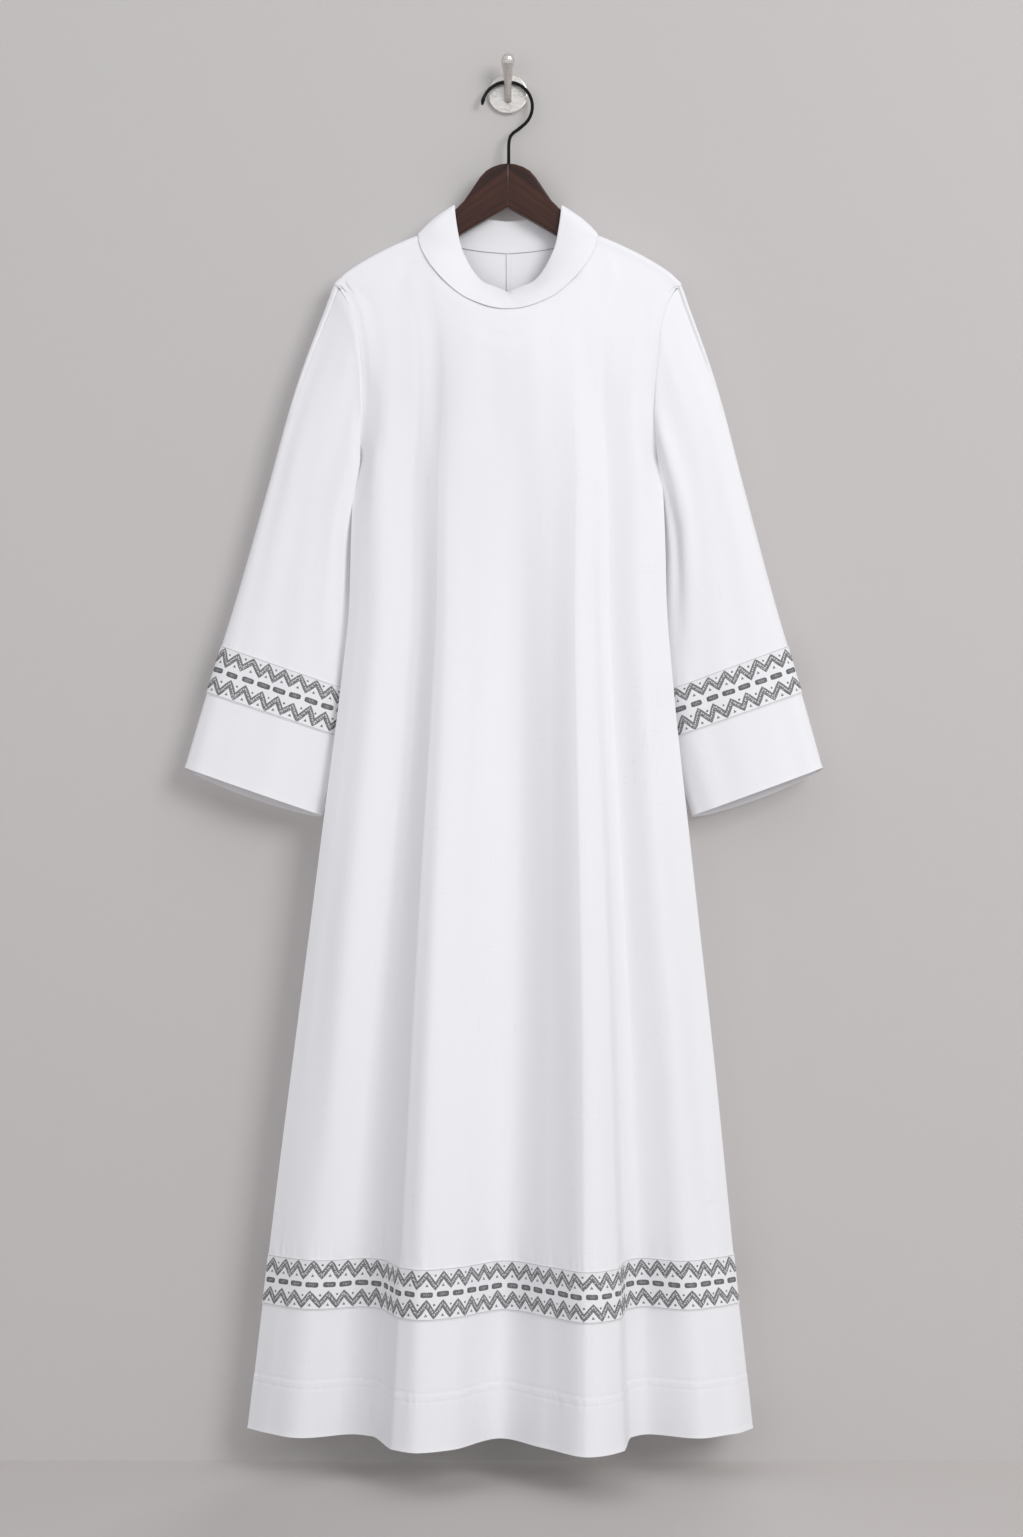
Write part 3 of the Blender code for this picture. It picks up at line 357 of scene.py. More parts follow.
def ease(share):
    t = np.clip(share, 0.0, 1.0)
    return t * t * (3.0 - 2.0 * t)


def unit(vectors):
    """The same vectors with a length of one."""
    return vectors / np.maximum(np.linalg.norm(vectors, axis=-1, keepdims=True), 1e-9)


def run_along(line):
    """The length from a line's start to each of its points."""
    return np.concatenate(((0.0,), np.cumsum(np.linalg.norm(np.diff(line, axis=0), axis=1))))


def on_side_line(column, z):
    return smooth_values(SIDE_LINE[:, Z], SIDE_LINE[:, column], z)


def half_width(u, z):
    return np.where(u < 0.0, on_side_line(LEFT, z), on_side_line(RIGHT, z))


def top_x(u):
    """How far from the middle a share of a panel's width lies at its top edge."""
    return np.abs(u) * half_width(u, np.full(u.shape, SIDE_LINE[0, Z]))


def side_out(face, z):
    seam = SIDE_LINE[SIDE_LINE[:, Z] <= UNDERARM_Z]
    below = smooth_values(seam[:, Z], seam[:, FRONT], z)
    return np.where(z < UNDERARM_Z, below, on_side_line(face, z))


def shoulder_at(x):
    return smooth_values(SHOULDER_LINE[:, 0], SHOULDER_LINE[:, 1], x)


def top_height(face, u):
    x = top_x(u)
    neck = smooth_values(NECK_LINE[face][:, 0], NECK_LINE[face][:, 1], x)
    return np.where(x >= NECK_X - 0.05, shoulder_at(x), neck)


def hem_share(z):
    return np.clip((CHEST_Z - z) / (CHEST_Z - HEM_Z), 0.0, 1.0)


def folded_out(face, u, z):
    rows = FOLDS[face]
    level = np.minimum(z, CHEST_Z)
    share = hem_share(level)
    places = rows[:, 0:1] + (rows[:, 1:2] - rows[:, 0:1]) * share
    levels = (CHEST_Z, WAIST_Z, KNEE_Z, HEM_Z)
    depths = np.array([smooth_values(levels, row[3:], level) for row in rows])
    return smooth_values(places, depths, u)


def draped_out(face, u, z):
    x = top_x(u)
    inward = SHOULDER_LINE[0, 1] + (NECK_X - x) * NECK_RISE
    line = np.where(x >= NECK_X, shoulder_at(x), inward)
    drop = np.maximum(line - z, 0.0)
    inset = np.maximum(1.0 - drop / SHOULDER_ROUND, 0.0)
    power = SHOULDER_SQUARENESS
    bulge = SHOULDER_ROUND * (1.0 - inset ** power) ** (1.0 / power)
    start = line - SHOULDER_ROUND
    share = np.clip((start - z) / (start - CHEST_Z), 0.0, 1.0)
    lean = 1.0 - (1.0 - share) ** CHEST_EASE
    forward = FORWARD[face]
    hanging = folded_out(face, u, z) - (HANGER_OUT + forward * SHOULDER_ROUND)
    return HANGER_OUT + forward * bulge + hanging * lean


def cloth_out(face, u, z):
    """How far out a panel's inner face lies, for arrays of shares and heights."""
    out = draped_out(face, u, z)
    if face == FRONT:
        below = np.maximum(top_height(face, u) - z, 0.0)
        tuck = NECK_TUCK * np.clip(1.0 - (top_x(u) / NECK_X) ** 4, 0.0, 1.0)
        out -= tuck * np.exp(-below / NECK_TUCK_FADE)
    low = z < shoulder_at(on_side_line(LEFT, z)) - SHOULDER_ROUND
    near = ease((np.abs(u) - 1.0 + EDGE_BLEND) / EDGE_BLEND)
    edge = side_out(face, z) - draped_out(face, np.where(u < 0.0, -1.0, 1.0), z)
    return out + np.where(low, edge * near, 0.0)


def settled_out(face, u, z):
    """How far out a panel lies, with the change of slope at the chest evened out."""
    out = cloth_out(face, u, z)
    near = ease(1.0 - np.abs(z - CHEST_Z) / CHEST_REACH)
    touched = near > 0.0
    if touched.any():
        a, b = u[touched], z[touched]
        even = sum(cloth_out(face, a, b + step) for step in CHEST_STEPS) / len(CHEST_STEPS)
        out[touched] += (even - out[touched]) * near[touched]
    return out


def crease_height(face, x, z):
    """Small creases and ripples in a panel, in millimetres along its normal."""
    height = np.zeros(x.shape)
    for panel, x0, z0, x1, z1, width, tall in CREASES:
        if panel != face:
            continue
        share = (z0 - z) / (z0 - z1)
        middle = x0 + (x1 - x0) * share
        fade = ease(share / 0.3) * ease((1.0 - share) / 0.4)
        height += tall * fade * np.exp(-((x - middle) / width) ** 2)
    wave = np.sin(x * 0.071 + z * 0.0043 + 1.3) + 0.6 * np.sin(x * 0.127 - z * 0.0061)
    height += RIPPLE * wave * ease((-300.0 - z) / 300.0)
    if face == FRONT:
        rows = FOLDS[FRONT]
        for row, tall, width in PRESSED_EDGES:
            place = rows[row, 0] + (rows[row, 1] - rows[row, 0]) * hem_share(z)
            middle = place * half_width(place, z)
            sharp = np.exp(-np.abs(x - middle) / width)
            height += tall * sharp * ease((-650.0 - z) / 300.0)
    return height


def hem_thickening(u, z):
    """The turned-up hem's second layer, with small puckers below its stitches."""
    below = HEM_STITCH_Z - z
    layer = HEM_LAYER * ease((below + 1.0) / 2.0)
    dip = -sum(deep * np.exp(-((below - at) / width) ** 2) for at, deep, width in HEM_DIPS)
    wave = np.sin(u * 190.0 + 3.0 * np.sin(u * 37.0))
    pucker = HEM_PUCKER * wave * np.exp(-np.abs(below - 7.0) / 7.0)
    rim = HEM_RIM * np.exp(-((z - HEM_Z) / 2.5) ** 2)
    return layer + dip + pucker * (below > 0.0) + rim


def seam_ridge(u, z):
    """The armhole's pressed seam along a panel's edge, with a shallow dip beside it."""
    inward = (1.0 - np.abs(u)) * ARMHOLE_HALF_WIDTH
    ridge = 0.5 * np.exp(-(inward / 2.5) ** 2) - 0.4 * np.exp(-((inward - 6.0) / 3.5) ** 2)
    return ridge * ease((z - UNDERARM_Z) / 20.0)


def band_puckers(u, z):
    """Small gathers just above the sewn band."""
    above = z - BAND_TOP_Z
    fade = np.exp(-np.abs(above - 5.0) / 9.0) * (above > -1.0)
    return BAND_GATHER * fade * np.sin(u * 170.0 + 3.0 * np.sin(u * 41.0))


def panel_surface(face, u, z, lift):
    """Points and normals on a panel, at a height above its inner face."""
    shape = u.shape
    u, z = u.ravel(), z.ravel()

    def place(a, b):
        return np.stack((a * half_width(a, b), settled_out(face, a, b), b), axis=-1)

    du, dz = 0.002, 0.8
    across = place(u + du, z) - place(u - du, z)
    edge = np.abs(u) > PANEL_EDGE
    across[edge] = (place(u, z) - place(u * 0.992, z))[edge]
    across[(u < 0.0) & edge] *= -1.0
    down = place(u, z - dz) - place(u, z)
    normal = unit(np.cross(across, down) * FORWARD[face])
    base = place(u, z)
    relief = crease_height(face, base[:, 0], z) + hem_thickening(u, z) + band_puckers(u, z)
    relief += seam_ridge(u, z)
    point = base + normal * (lift + relief)[:, None]
    return point.reshape(*shape, 3), normal.reshape(*shape, 3)


def world(points):
    """Millimetres in front of the wall to metres in the frame."""
    points = np.asarray(points, float)
    return np.stack((points[..., 0], -points[..., 1], points[..., 2]), axis=-1) * MM


def finish_piece(mesh, material, smooth_angle, cloth_mm):
    """Shades a mesh, gives it cloth coordinates and a material, and rides it on the root."""
    mesh.shade_smooth()
    mesh.set_sharp_from_angle(angle=math.radians(smooth_angle))
    layer = mesh.attributes.new("cloth_mm", "FLOAT_VECTOR", "POINT")
    layer.data.foreach_set("vector", np.asarray(cloth_mm, float).reshape(-1))
    mesh.materials.append(material)
    obj = bpy.data.objects.new(mesh.name, mesh)
    bpy.context.scene.collection.objects.link(obj)
    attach(obj, "root")
    return obj


def sheet_mesh(name, points, faces, material, cloth_mm):
    """A closed mesh of four-sided faces that face outward, from millimetre points."""
    verts = world(points).reshape(-1, 3)
    a, b, c, d = (verts[faces[:, k]] for k in range(4))
    if np.sum(a * np.cross(b, c)) + np.sum(a * np.cross(c, d)) < 0.0:
        faces = faces[:, ::-1]
    mesh = bpy.data.meshes.new(name)
    mesh.from_pydata(verts.tolist(), [], faces.tolist())
    mesh.update()
    return finish_piece(mesh, material, 60.0, cloth_mm)


def shell_faces(rows, columns, closed):
    """Faces of a two-sided sheet: outer points first, then inner points."""
    count = rows * columns
    index = np.arange(count).reshape(rows, columns)
    right = np.roll(index, -1, axis=1)
    spans = columns if closed else columns - 1
    a, b = index[:-1, :spans], right[:-1, :spans]
    c, d = right[1:, :spans], index[1:, :spans]
    outer = np.stack((a, b, c, d), axis=-1).reshape(-1, 4)
    inner = outer[:, ::-1] + count
    faces = [outer, inner]
    for row, flip in ((0, True), (rows - 1, False)):
        i, j = index[row, :spans], right[row, :spans]
        rim = np.stack((i, i + count, j + count, j), axis=-1)
        faces.append(rim[:, ::-1] if flip else rim)
    if not closed:
        for column, flip in ((0, False), (columns - 1, True)):
            i, j = index[:-1, column], index[1:, column]
            rim = np.stack((i, i + count, j + count, j), axis=-1)
            faces.append(rim[:, ::-1] if flip else rim)
    return np.concatenate(faces)


def shell(name, outer, normals, thickness, closed, material, cloth_mm):
    inner = outer - normals * thickness
    points = np.concatenate((outer.reshape(-1, 3), inner.reshape(-1, 3)))
    flat = np.concatenate((cloth_mm.reshape(-1, 3), cloth_mm.reshape(-1, 3)))
    faces = shell_faces(outer.shape[0], outer.shape[1], closed)
    return sheet_mesh(name, points, faces, material, flat)


def hung_shell(name, outer, normals, thickness, closed, material, cloth_mm):
    """A shell of hanging cloth."""
    piece = shell(name, outer, normals, thickness, closed, material, cloth_mm)
    return piece


def cloth_coordinates(grid):
    """Lengths along the cloth, across and down, in millimetres."""
    step = np.linalg.norm(np.diff(grid, axis=1), axis=2)
    across = np.concatenate((np.zeros((len(grid), 1)), np.cumsum(step, axis=1)), axis=1)
    across -= across.mean(axis=1, keepdims=True)
    fall = np.linalg.norm(np.diff(grid, axis=0), axis=2).mean(axis=1)
    down = np.concatenate(((0.0,), np.cumsum(fall)))
    return np.stack((across, np.broadcast_to(down[:, None], across.shape),
                     np.zeros(across.shape)), axis=-1)


def panel_places(face, first, last):
    """Where a panel's columns run, as shares at the top and at the hem."""
    rows = FOLDS[face]
    rows = rows[(rows[:, 0] >= first - 1e-6) & (rows[:, 0] <= last + 1e-6)]
    at_top, at_hem = [], []
    for here, after in zip(rows, rows[1:]):
        strips = int(here[2])
        steps = strips * FINER if strips > 1 else FINER // 2
        share = np.arange(steps) / steps
        at_top.extend(here[0] + (after[0] - here[0]) * share)
        at_hem.extend(here[1] + (after[1] - here[1]) * share)
    at_top.append(rows[-1, 0])
    at_hem.append(rows[-1, 1])
    return np.array(at_top), np.array(at_hem)


def panel_rows(top):
    """Heights down each column, closer together where the cloth bends over the shoulder."""
    heights = [top - drop for drop in SHOULDER_DROPS]
    last = heights[-1]
    for share in np.arange(1, YOKE_ROWS + 1) / YOKE_ROWS:
        heights.append(last + (UNDERARM_Z - last) * share)
    levels = []
    start = UNDERARM_Z
    for end, count in PANEL_STRETCHES:
        levels += list(np.linspace(start, end, count + 1)[1:])
        start = end
    levels += [HEM_Z + 2.0, HEM_Z + 0.8, HEM_Z]
    heights += [np.full(top.shape, level) for level in levels]
    return np.array(heights)


def make_panel(name, face, first, last, material):
    """A panel between two shares of the width, as a hanging sheet."""
    at_top, at_hem = panel_places(face, first, last)
    heights = panel_rows(top_height(face, at_top))
    u = at_top + (at_hem - at_top) * hem_share(heights)
    outer, normals = panel_surface(face, u, heights, CLOTH)
    return hung_shell(name, outer, normals, PLY, False, material, cloth_coordinates(outer))


def sleeve_surface(side, along, angle, lift):
    """Points and normals on a sleeve, for arrays of places along it and angles round it."""
    shape = along.shape
    along, angle = along.ravel(), angle.ravel()

    def armhole(turn):
        share = np.full(turn.shape, -1.0 if side == "left" else 1.0)
        top = top_height(FRONT, share) - 0.5
        z = (top + UNDERARM_Z) / 2.0 + (top - UNDERARM_Z) / 2.0 * np.cos(turn)
        front = cloth_out(FRONT, share, z)
        back = cloth_out(BACK, share, z)
        out = np.where(np.sin(turn) >= 0.0, front, back)
        return np.stack((half_width(share, z) + 0.3, out, z), axis=-1)

    def loft(place, turn):
        size = [smooth_values(SLEEVE[:, 0], SLEEVE[:, k], place) for k in range(1, 8)]
        outer_x, outer_z, inner_x, inner_z, middle, deep, drop = size
        half_x, half_z = (outer_x - inner_x) / 2.0, (outer_z - inner_z) / 2.0
        length = np.hypot(half_x, half_z)
        lowered = drop * np.maximum(-np.sin(turn), 0.0)
        x = (outer_x + inner_x) / 2.0 + half_x * np.cos(turn) + half_z / length * lowered
        z = (outer_z + inner_z) / 2.0 + half_z * np.cos(turn) - half_x / length * lowered
        depth = np.sign(np.sin(turn)) * np.abs(np.sin(turn)) ** SLEEVE_FLATNESS * deep
        away = (np.degrees(turn) - SLEEVE_RIDGE_ANGLE) / SLEEVE_RIDGE_WIDTH
        ridge = SLEEVE_RIDGE * np.exp(-away * away)
        depth += ridge * ease(place / 0.12) * ease((0.9 - place) / 0.6)
        start = SLEEVE[0, 1]
        x = np.where(x > start, start + (x - start) * SLEEVE_SPREAD[side], x)
        return np.stack((x, middle + depth, z), axis=-1)

    def place_at(place, turn):
        turn = np.mod(turn, 2.0 * math.pi)
        near = 1.0 - ease(place / ARMHOLE_REACH)
        fitting = armhole(turn) - loft(np.zeros(turn.shape), turn)
        point = loft(np.maximum(place, 0.0), turn) + fitting * near[:, None]
        if side == "left":
            point[:, 0] *= -1.0
        return point

    turn, step = 0.01, 0.002
    around = place_at(along, angle + turn) - place_at(along, angle - turn)
    down = place_at(np.minimum(along + step, 1.0), angle) - place_at(along - step, angle)
    normal = unit(np.cross(around, down) * (-1.0 if side == "right" else 1.0))
    relief = sleeve_relief(side, along, angle)
    point = place_at(along, angle) + normal * (lift + relief)[:, None]
    return point.reshape(*shape, 3), normal.reshape(*shape, 3)


def sleeve_relief(side, along, angle):
    """Creases down a sleeve, the sunk armhole seam and the cuff's folded edge."""
    turn = 0.0 if side == "left" else 0.9
    wave = np.sin(angle * 7.0 + along * 3.0 + turn) + 0.7 * np.sin(angle * 11.0 - along * 5.0)
    relief = 0.55 * wave * ease(along / 0.15)
    relief += 0.8 * np.sin(angle * 3.0 + 2.0 + turn) * ease(along / 0.3)
    relief -= 0.6 * np.exp(-along / 0.006)
    for turn_at, width, tall in SLEEVE_PLEATS[side]:
        away = (np.degrees(np.mod(angle, 2.0 * math.pi)) - turn_at) / width
        relief += tall * np.exp(-away * away) * ease(along / 0.08) * ease((0.72 - along) / 0.45)
    relief += 0.5 * np.exp(-((along - 0.018) / 0.012) ** 2)
    relief += 0.45 * np.exp(-((1.0 - along) / 0.006) ** 2)
    top = (SLEEVE_BAND[0] - along) * 600.0
    gathers = np.exp(-np.abs(top - 5.0) / 8.0) * (top > -1.0)
    return relief + 0.3 * gathers * np.sin(angle * 95.0 + 2.0 * np.sin(angle * 9.0))


def make_sleeve(side, material):
    rows = np.concatenate(((0.0, 0.002, 0.005, 0.009, 0.014, 0.02), np.linspace(0.028, 0.7, 46),
                           np.linspace(0.708, 0.86, 26), np.linspace(0.87, 0.985, 12),
                           (0.992, 0.997, 1.0)))
    turns = 2.0 * math.pi * np.arange(SLEEVE_COLUMNS) / SLEEVE_COLUMNS
    along, angle = np.meshgrid(rows, turns, indexing="ij")
    outer, normals = sleeve_surface(side, along, angle, CLOTH)
    return hung_shell("alb_sleeve_" + side, outer, normals, PLY, True, material,
                      cloth_coordinates(outer))


def round_trip(points, steps):
    """A closed smooth line through the points."""
    line = []
    count = len(points)
    for i in range(count):
        before, here, after, beyond = (points[(i + k - 1) % count] for k in range(4))
        for step in range(steps):
            t = step / steps
            line.append(0.5 * (2.0 * here + (after - before) * t
                               + (2.0 * before - 5.0 * here + 4.0 * after - beyond) * t ** 2
                               + (3.0 * (here - after) + beyond - before) * t ** 3))
    return np.array(line)


def collar_lines(steps):
    """The collar's fold, its edge and its outward direction, all the way round."""
    folds, edges = [], []
    lift = CLOTH + COLLAR_LIFT
    for fold_x, fold_out, fold_z, edge_x, edge_z, face in COLLAR:
        folds.append((fold_x, fold_out, fold_z))
        if face is None:
            top = shoulder_at(np.array((edge_x,)))[0]
            edges.append((edge_x, HANGER_OUT, top + lift))
        else:
            z = np.array((edge_z,))
            u = edge_x / half_width(np.ones(1), z)
            point, normal = panel_surface(face, u, z, 0.0)
            edges.append(point[0] + normal[0] * lift)
    folds, edges = np.array(folds), np.array(edges)
    mirror = np.array((-1.0, 1.0, 1.0))
    folds = round_trip(np.concatenate((folds, (folds * mirror)[-2:0:-1])), steps)
    edges = round_trip(np.concatenate((edges, (edges * mirror)[-2:0:-1])), steps)
    middles = (folds + edges) / 2.0
    along = np.roll(middles, -1, axis=0) - np.roll(middles, 1, axis=0)
    normals = np.cross(along, edges - folds)
    return folds, edges, unit(normals)


def make_collar(material):
    """The collar as one folded sheet: fall outside, rounded fold, stand inside."""
    steps = 8
    folds, edges, normals = collar_lines(steps)
    count = len(folds)
    turn = np.arange(count) / count * 2.0 * math.pi
    reach = edges - folds
    up = -unit(reach)
    rows = []

    def row(share, depth, rise=0.0):
        bow = COLLAR_BOW * np.sin(math.pi * share)
        pull = 0.35 * np.sin(turn * 9.0 + share * 4.0) + 0.25 * np.sin(turn * 17.0 - share * 6.0)
        pull = pull * math.sin(math.pi * min(max(share, 0.0), 1.0))
        rows.append(folds + reach * share + normals * (bow - depth + pull)[:, None] + up * rise)

    for share in FALL_SHARES:
        row(share, 0.0)
    for turn_share in FOLD_TURNS:
        arc = math.pi * turn_share
        row(0.02, FOLD_RADIUS - FOLD_RADIUS * math.cos(arc), math.sin(arc))
    for share in STAND_SHARES:
        row(share, 2.0 * FOLD_RADIUS)
    outer = np.array(rows)
    around = np.roll(outer, -1, axis=1) - np.roll(outer, 1, axis=1)
    down = np.gradient(outer, axis=0)
    facing = unit(np.cross(around, down))
    if np.sum(facing[4] * normals) < 0.0:
        facing = -facing
    return hung_shell("alb_collar", outer, facing, COLLAR_PLY, True, material,
                      cloth_coordinates(outer))


def link(tree, source, target):
    tree.links.new(source, target)


def node(tree, kind, **settings):
    made = tree.nodes.new(kind)
    for name, value in settings.items():
        setattr(made, name, value)
    return made


def new_material(name, roughness, metallic=0.0):
    material = bpy.data.materials.new(name)
    material.use_nodes = True
    tree = material.node_tree
    shader = tree.nodes["Principled BSDF"]
    shader.inputs["Roughness"].default_value = roughness
    shader.inputs["Metallic"].default_value = metallic
    return material, tree, shader


def mapped(tree, vector, kind, value):
    """A vector that is turned or stretched, by the socket's name."""
    mapping = node(tree, "ShaderNodeMapping")
    mapping.inputs[kind].default_value = value
    link(tree, vector, mapping.inputs["Vector"])
    return mapping.outputs["Vector"]


def cloth_vector(tree, scale):
    """Cloth coordinates from the mesh, stretched by a scale."""
    attribute = node(tree, "ShaderNodeAttribute", attribute_name="cloth_mm")
    return mapped(tree, attribute.outputs["Vector"], "Scale", scale)


def colour_ramp(tree, value, low, high, start=0.0, end=1.0):
    ramp = node(tree, "ShaderNodeValToRGB")
    ramp.color_ramp.elements[0].position = start
    ramp.color_ramp.elements[0].color = (*low, 1.0)
    ramp.color_ramp.elements[1].position = end
    ramp.color_ramp.elements[1].color = (*high, 1.0)
    link(tree, value, ramp.inputs["Fac"])
    return ramp.outputs["Color"]


def noise(tree, vector, scale, detail=3.0):
    made = node(tree, "ShaderNodeTexNoise")
    made.inputs["Scale"].default_value = scale
    made.inputs["Detail"].default_value = detail
    link(tree, vector, made.inputs["Vector"])
    return made.outputs["Fac"]


def add_values(tree, first, second, share):
    """first plus share times second."""
    made = node(tree, "ShaderNodeMath", operation="MULTIPLY_ADD")
    link(tree, second, made.inputs[0])
    made.inputs[1].default_value = share
    link(tree, first, made.inputs[2])
    return made.outputs["Value"]


def add_bump(tree, shader, height, strength, distance):
    bump = node(tree, "ShaderNodeBump")
    bump.inputs["Strength"].default_value = strength
    bump.inputs["Distance"].default_value = distance
    link(tree, height, bump.inputs["Height"])
    link(tree, bump.outputs["Normal"], shader.inputs["Normal"])


def weave_height(tree, period):
    """A plain weave: threads over and under in both directions."""
    turns = 2.0 * math.pi / period
    parts = []
    vector = cloth_vector(tree, (turns, turns, 1.0))
    split = node(tree, "ShaderNodeSeparateXYZ")
    link(tree, vector, split.inputs["Vector"])
    for axis in ("X", "Y"):
        wave = node(tree, "ShaderNodeMath", operation="SINE")
        link(tree, split.outputs[axis], wave.inputs[0])
        parts.append(wave.outputs["Value"])
    crossed = node(tree, "ShaderNodeMath", operation="MULTIPLY")
    link(tree, parts[0], crossed.inputs[0])
    link(tree, parts[1], crossed.inputs[1])
    return crossed.outputs["Value"]


def cloth_material(name, low, high, weave=0.9):
    """White woven cloth: slubs, a plain weave and a faint sheen."""
    material, tree, shader = new_material(name, 0.86)
    slub = noise(tree, cloth_vector(tree, (0.35, 0.02, 1.0)), 1.0)
    cross = noise(tree, cloth_vector(tree, (0.03, 0.4, 1.0)), 1.0)
    broad = noise(tree, cloth_vector(tree, (0.012, 0.006, 1.0)), 1.0, 2.0)
    mixed = add_values(tree, slub, cross, 0.8)
    tone = add_values(tree, mixed, broad, 0.6)
    link(tree, colour_ramp(tree, tone, low, high, 0.8, 1.6), shader.inputs["Base Color"])
    height = add_values(tree, mixed, weave_height(tree, weave), 0.35)
    add_bump(tree, shader, height, 0.22, 0.0003)
    shader.inputs["Sheen Weight"].default_value = 0.12
    shader.inputs["Sheen Roughness"].default_value = 0.5
    shader.inputs["Specular IOR Level"].default_value = 0.25
    return material


def thread_material(name, dark, light, period, outline):
    """Chain-stitched grey thread: dark loops with paler openings and a darker outline."""
    material, tree, shader = new_material(name, 0.8)
    cells = node(tree, "ShaderNodeTexVoronoi", feature="F1")
    cells.inputs["Scale"].default_value = 1.0
    cells.inputs["Randomness"].default_value = 0.35
    link(tree, cloth_vector(tree, (1.0 / period, 1.0 / period, 1.0)), cells.inputs["Vector"])
    colour = colour_ramp(tree, cells.outputs["Distance"], light, dark, 0.22, 0.48)
    split = node(tree, "ShaderNodeSeparateXYZ")
    link(tree, cloth_vector(tree, (1.0, 1.0, 1.0)), split.inputs["Vector"])
    rim = node(tree, "ShaderNodeMapRange", interpolation_type="SMOOTHSTEP")
    rim.inputs["From Min"].default_value = 0.62
    rim.inputs["From Max"].default_value = 0.95
    link(tree, split.outputs["Z"], rim.inputs["Value"])
    mixed = node(tree, "ShaderNodeMix", data_type="RGBA")
    link(tree, rim.outputs["Result"], mixed.inputs["Factor"])
    link(tree, colour, mixed.inputs["A"])
    mixed.inputs["B"].default_value = (*outline, 1.0)
    link(tree, mixed.outputs["Result"], shader.inputs["Base Color"])
    add_bump(tree, shader, cells.outputs["Distance"], 0.5, 0.0004)
    return material


def wood_material(name):
    """Dark walnut with the grain along each arm."""
    material, tree, shader = new_material(name, 0.36)
    coordinates = node(tree, "ShaderNodeTexCoord")
    split = node(tree, "ShaderNodeSeparateXYZ")
    link(tree, coordinates.outputs["Object"], split.inputs["Vector"])
    side = node(tree, "ShaderNodeMath", operation="ABSOLUTE")
    link(tree, split.outputs["X"], side.inputs[0])
    folded = node(tree, "ShaderNodeCombineXYZ")
    link(tree, side.outputs["Value"], folded.inputs["X"])
    link(tree, split.outputs["Y"], folded.inputs["Y"])
    link(tree, split.outputs["Z"], folded.inputs["Z"])
    slope = (0.0, math.radians(-36.0), 0.0)
    turned = mapped(tree, folded.outputs["Vector"], "Rotation", slope)
    grain = noise(tree, mapped(tree, turned, "Scale", (9.0, 130.0, 150.0)), 1.0, 6.0)
    pores = noise(tree, mapped(tree, turned, "Scale", (40.0, 900.0, 1100.0)), 1.0, 2.0)
    mixed = add_values(tree, grain, pores, 0.35)
    colour = colour_ramp(tree, mixed, (0.008, 0.0028, 0.002), (0.075, 0.022, 0.011), 0.42, 0.98)
    link(tree, colour, shader.inputs["Base Color"])
    add_bump(tree, shader, mixed, 0.12, 0.0004)
    shader.inputs["Specular IOR Level"].default_value = 0.3
    shader.inputs["Coat Weight"].default_value = 0.08
    shader.inputs["Coat Roughness"].default_value = 0.3
    return material


def metal_material(name, low, high, roughness, grain):
    """Satin metal: fine brushing and uneven polish."""
    material, tree, shader = new_material(name, roughness, 1.0)
    coordinates = node(tree, "ShaderNodeTexCoord")
    stretched = mapped(tree, coordinates.outputs["Object"], "Scale", grain)
    brushed = noise(tree, stretched, 1.0, 4.0)
    link(tree, colour_ramp(tree, brushed, low, high, 0.3, 0.7), shader.inputs["Base Color"])
    rough = node(tree, "ShaderNodeMapRange")
    rough.inputs["To Min"].default_value = roughness - 0.06
    rough.inputs["To Max"].default_value = roughness + 0.1
    link(tree, brushed, rough.inputs["Value"])
    link(tree, rough.outputs["Result"], shader.inputs["Roughness"])
    add_bump(tree, shader, brushed, 0.08, 0.0002)
    return material


def plain_stage_material(name, colour, see_through_back):
    """A matt surface for the studio. The wall lets the rear light and view reach the back."""
    material, tree, shader = new_material(name, 0.95)
    shader.inputs["Base Color"].default_value = (*colour, 1.0)
    shader.inputs["Specular IOR Level"].default_value = 0.1
    if see_through_back:
        side = node(tree, "ShaderNodeNewGeometry")
        path = node(tree, "ShaderNodeLightPath")
        open_to = node(tree, "ShaderNodeMath", operation="MAXIMUM")
        link(tree, side.outputs["Backfacing"], open_to.inputs[0])
        link(tree, path.outputs["Is Shadow Ray"], open_to.inputs[1])
        clear = node(tree, "ShaderNodeBsdfTransparent")
        mix = node(tree, "ShaderNodeMixShader")
        link(tree, open_to.outputs["Value"], mix.inputs["Fac"])
        link(tree, shader.outputs["BSDF"], mix.inputs[1])
        link(tree, clear.outputs["BSDF"], mix.inputs[2])
        link(tree, mix.outputs["Shader"], tree.nodes["Material Output"].inputs["Surface"])
    return material


class BandMap:
    """Places on a woven band: s runs along it, t across it, both in millimetres."""

    def __init__(self, length, surface):
        self.length = length
        self.surface = surface

    def place(self, s, t, lift):
        return self.surface(np.asarray(s, float), np.asarray(t, float), lift)


def panel_band_map(face, middle, samples):
    """A strip across a panel, with its middle at one height."""
    u = np.linspace(-1.0, 1.0, samples)
    line = panel_surface(face, u, np.full(u.shape, middle), CLOTH)[0]
    s = run_along(line)

    def surface(along, across, lift):
        return panel_surface(face, np.interp(along, s, u), middle + across, lift)

    return BandMap(s[-1], surface)


def sleeve_band_map(side):
    """The strip round a sleeve that its band covers."""
    middle = (SLEEVE_BAND[0] + SLEEVE_BAND[1]) / 2.0
    turn = np.linspace(0.0, 2.0 * math.pi, 1201)
    line = sleeve_surface(side, np.full(turn.shape, middle), turn, CLOTH)[0]
    s = run_along(line)
    scale = (SLEEVE_BAND[1] - SLEEVE_BAND[0]) / (2.0 * BAND_HALF)

    def surface(along, across, lift):
        angle = np.interp(np.mod(along, s[-1]), s, turn)
        return sleeve_surface(side, middle - across * scale, angle, lift)

    return BandMap(s[-1], surface)


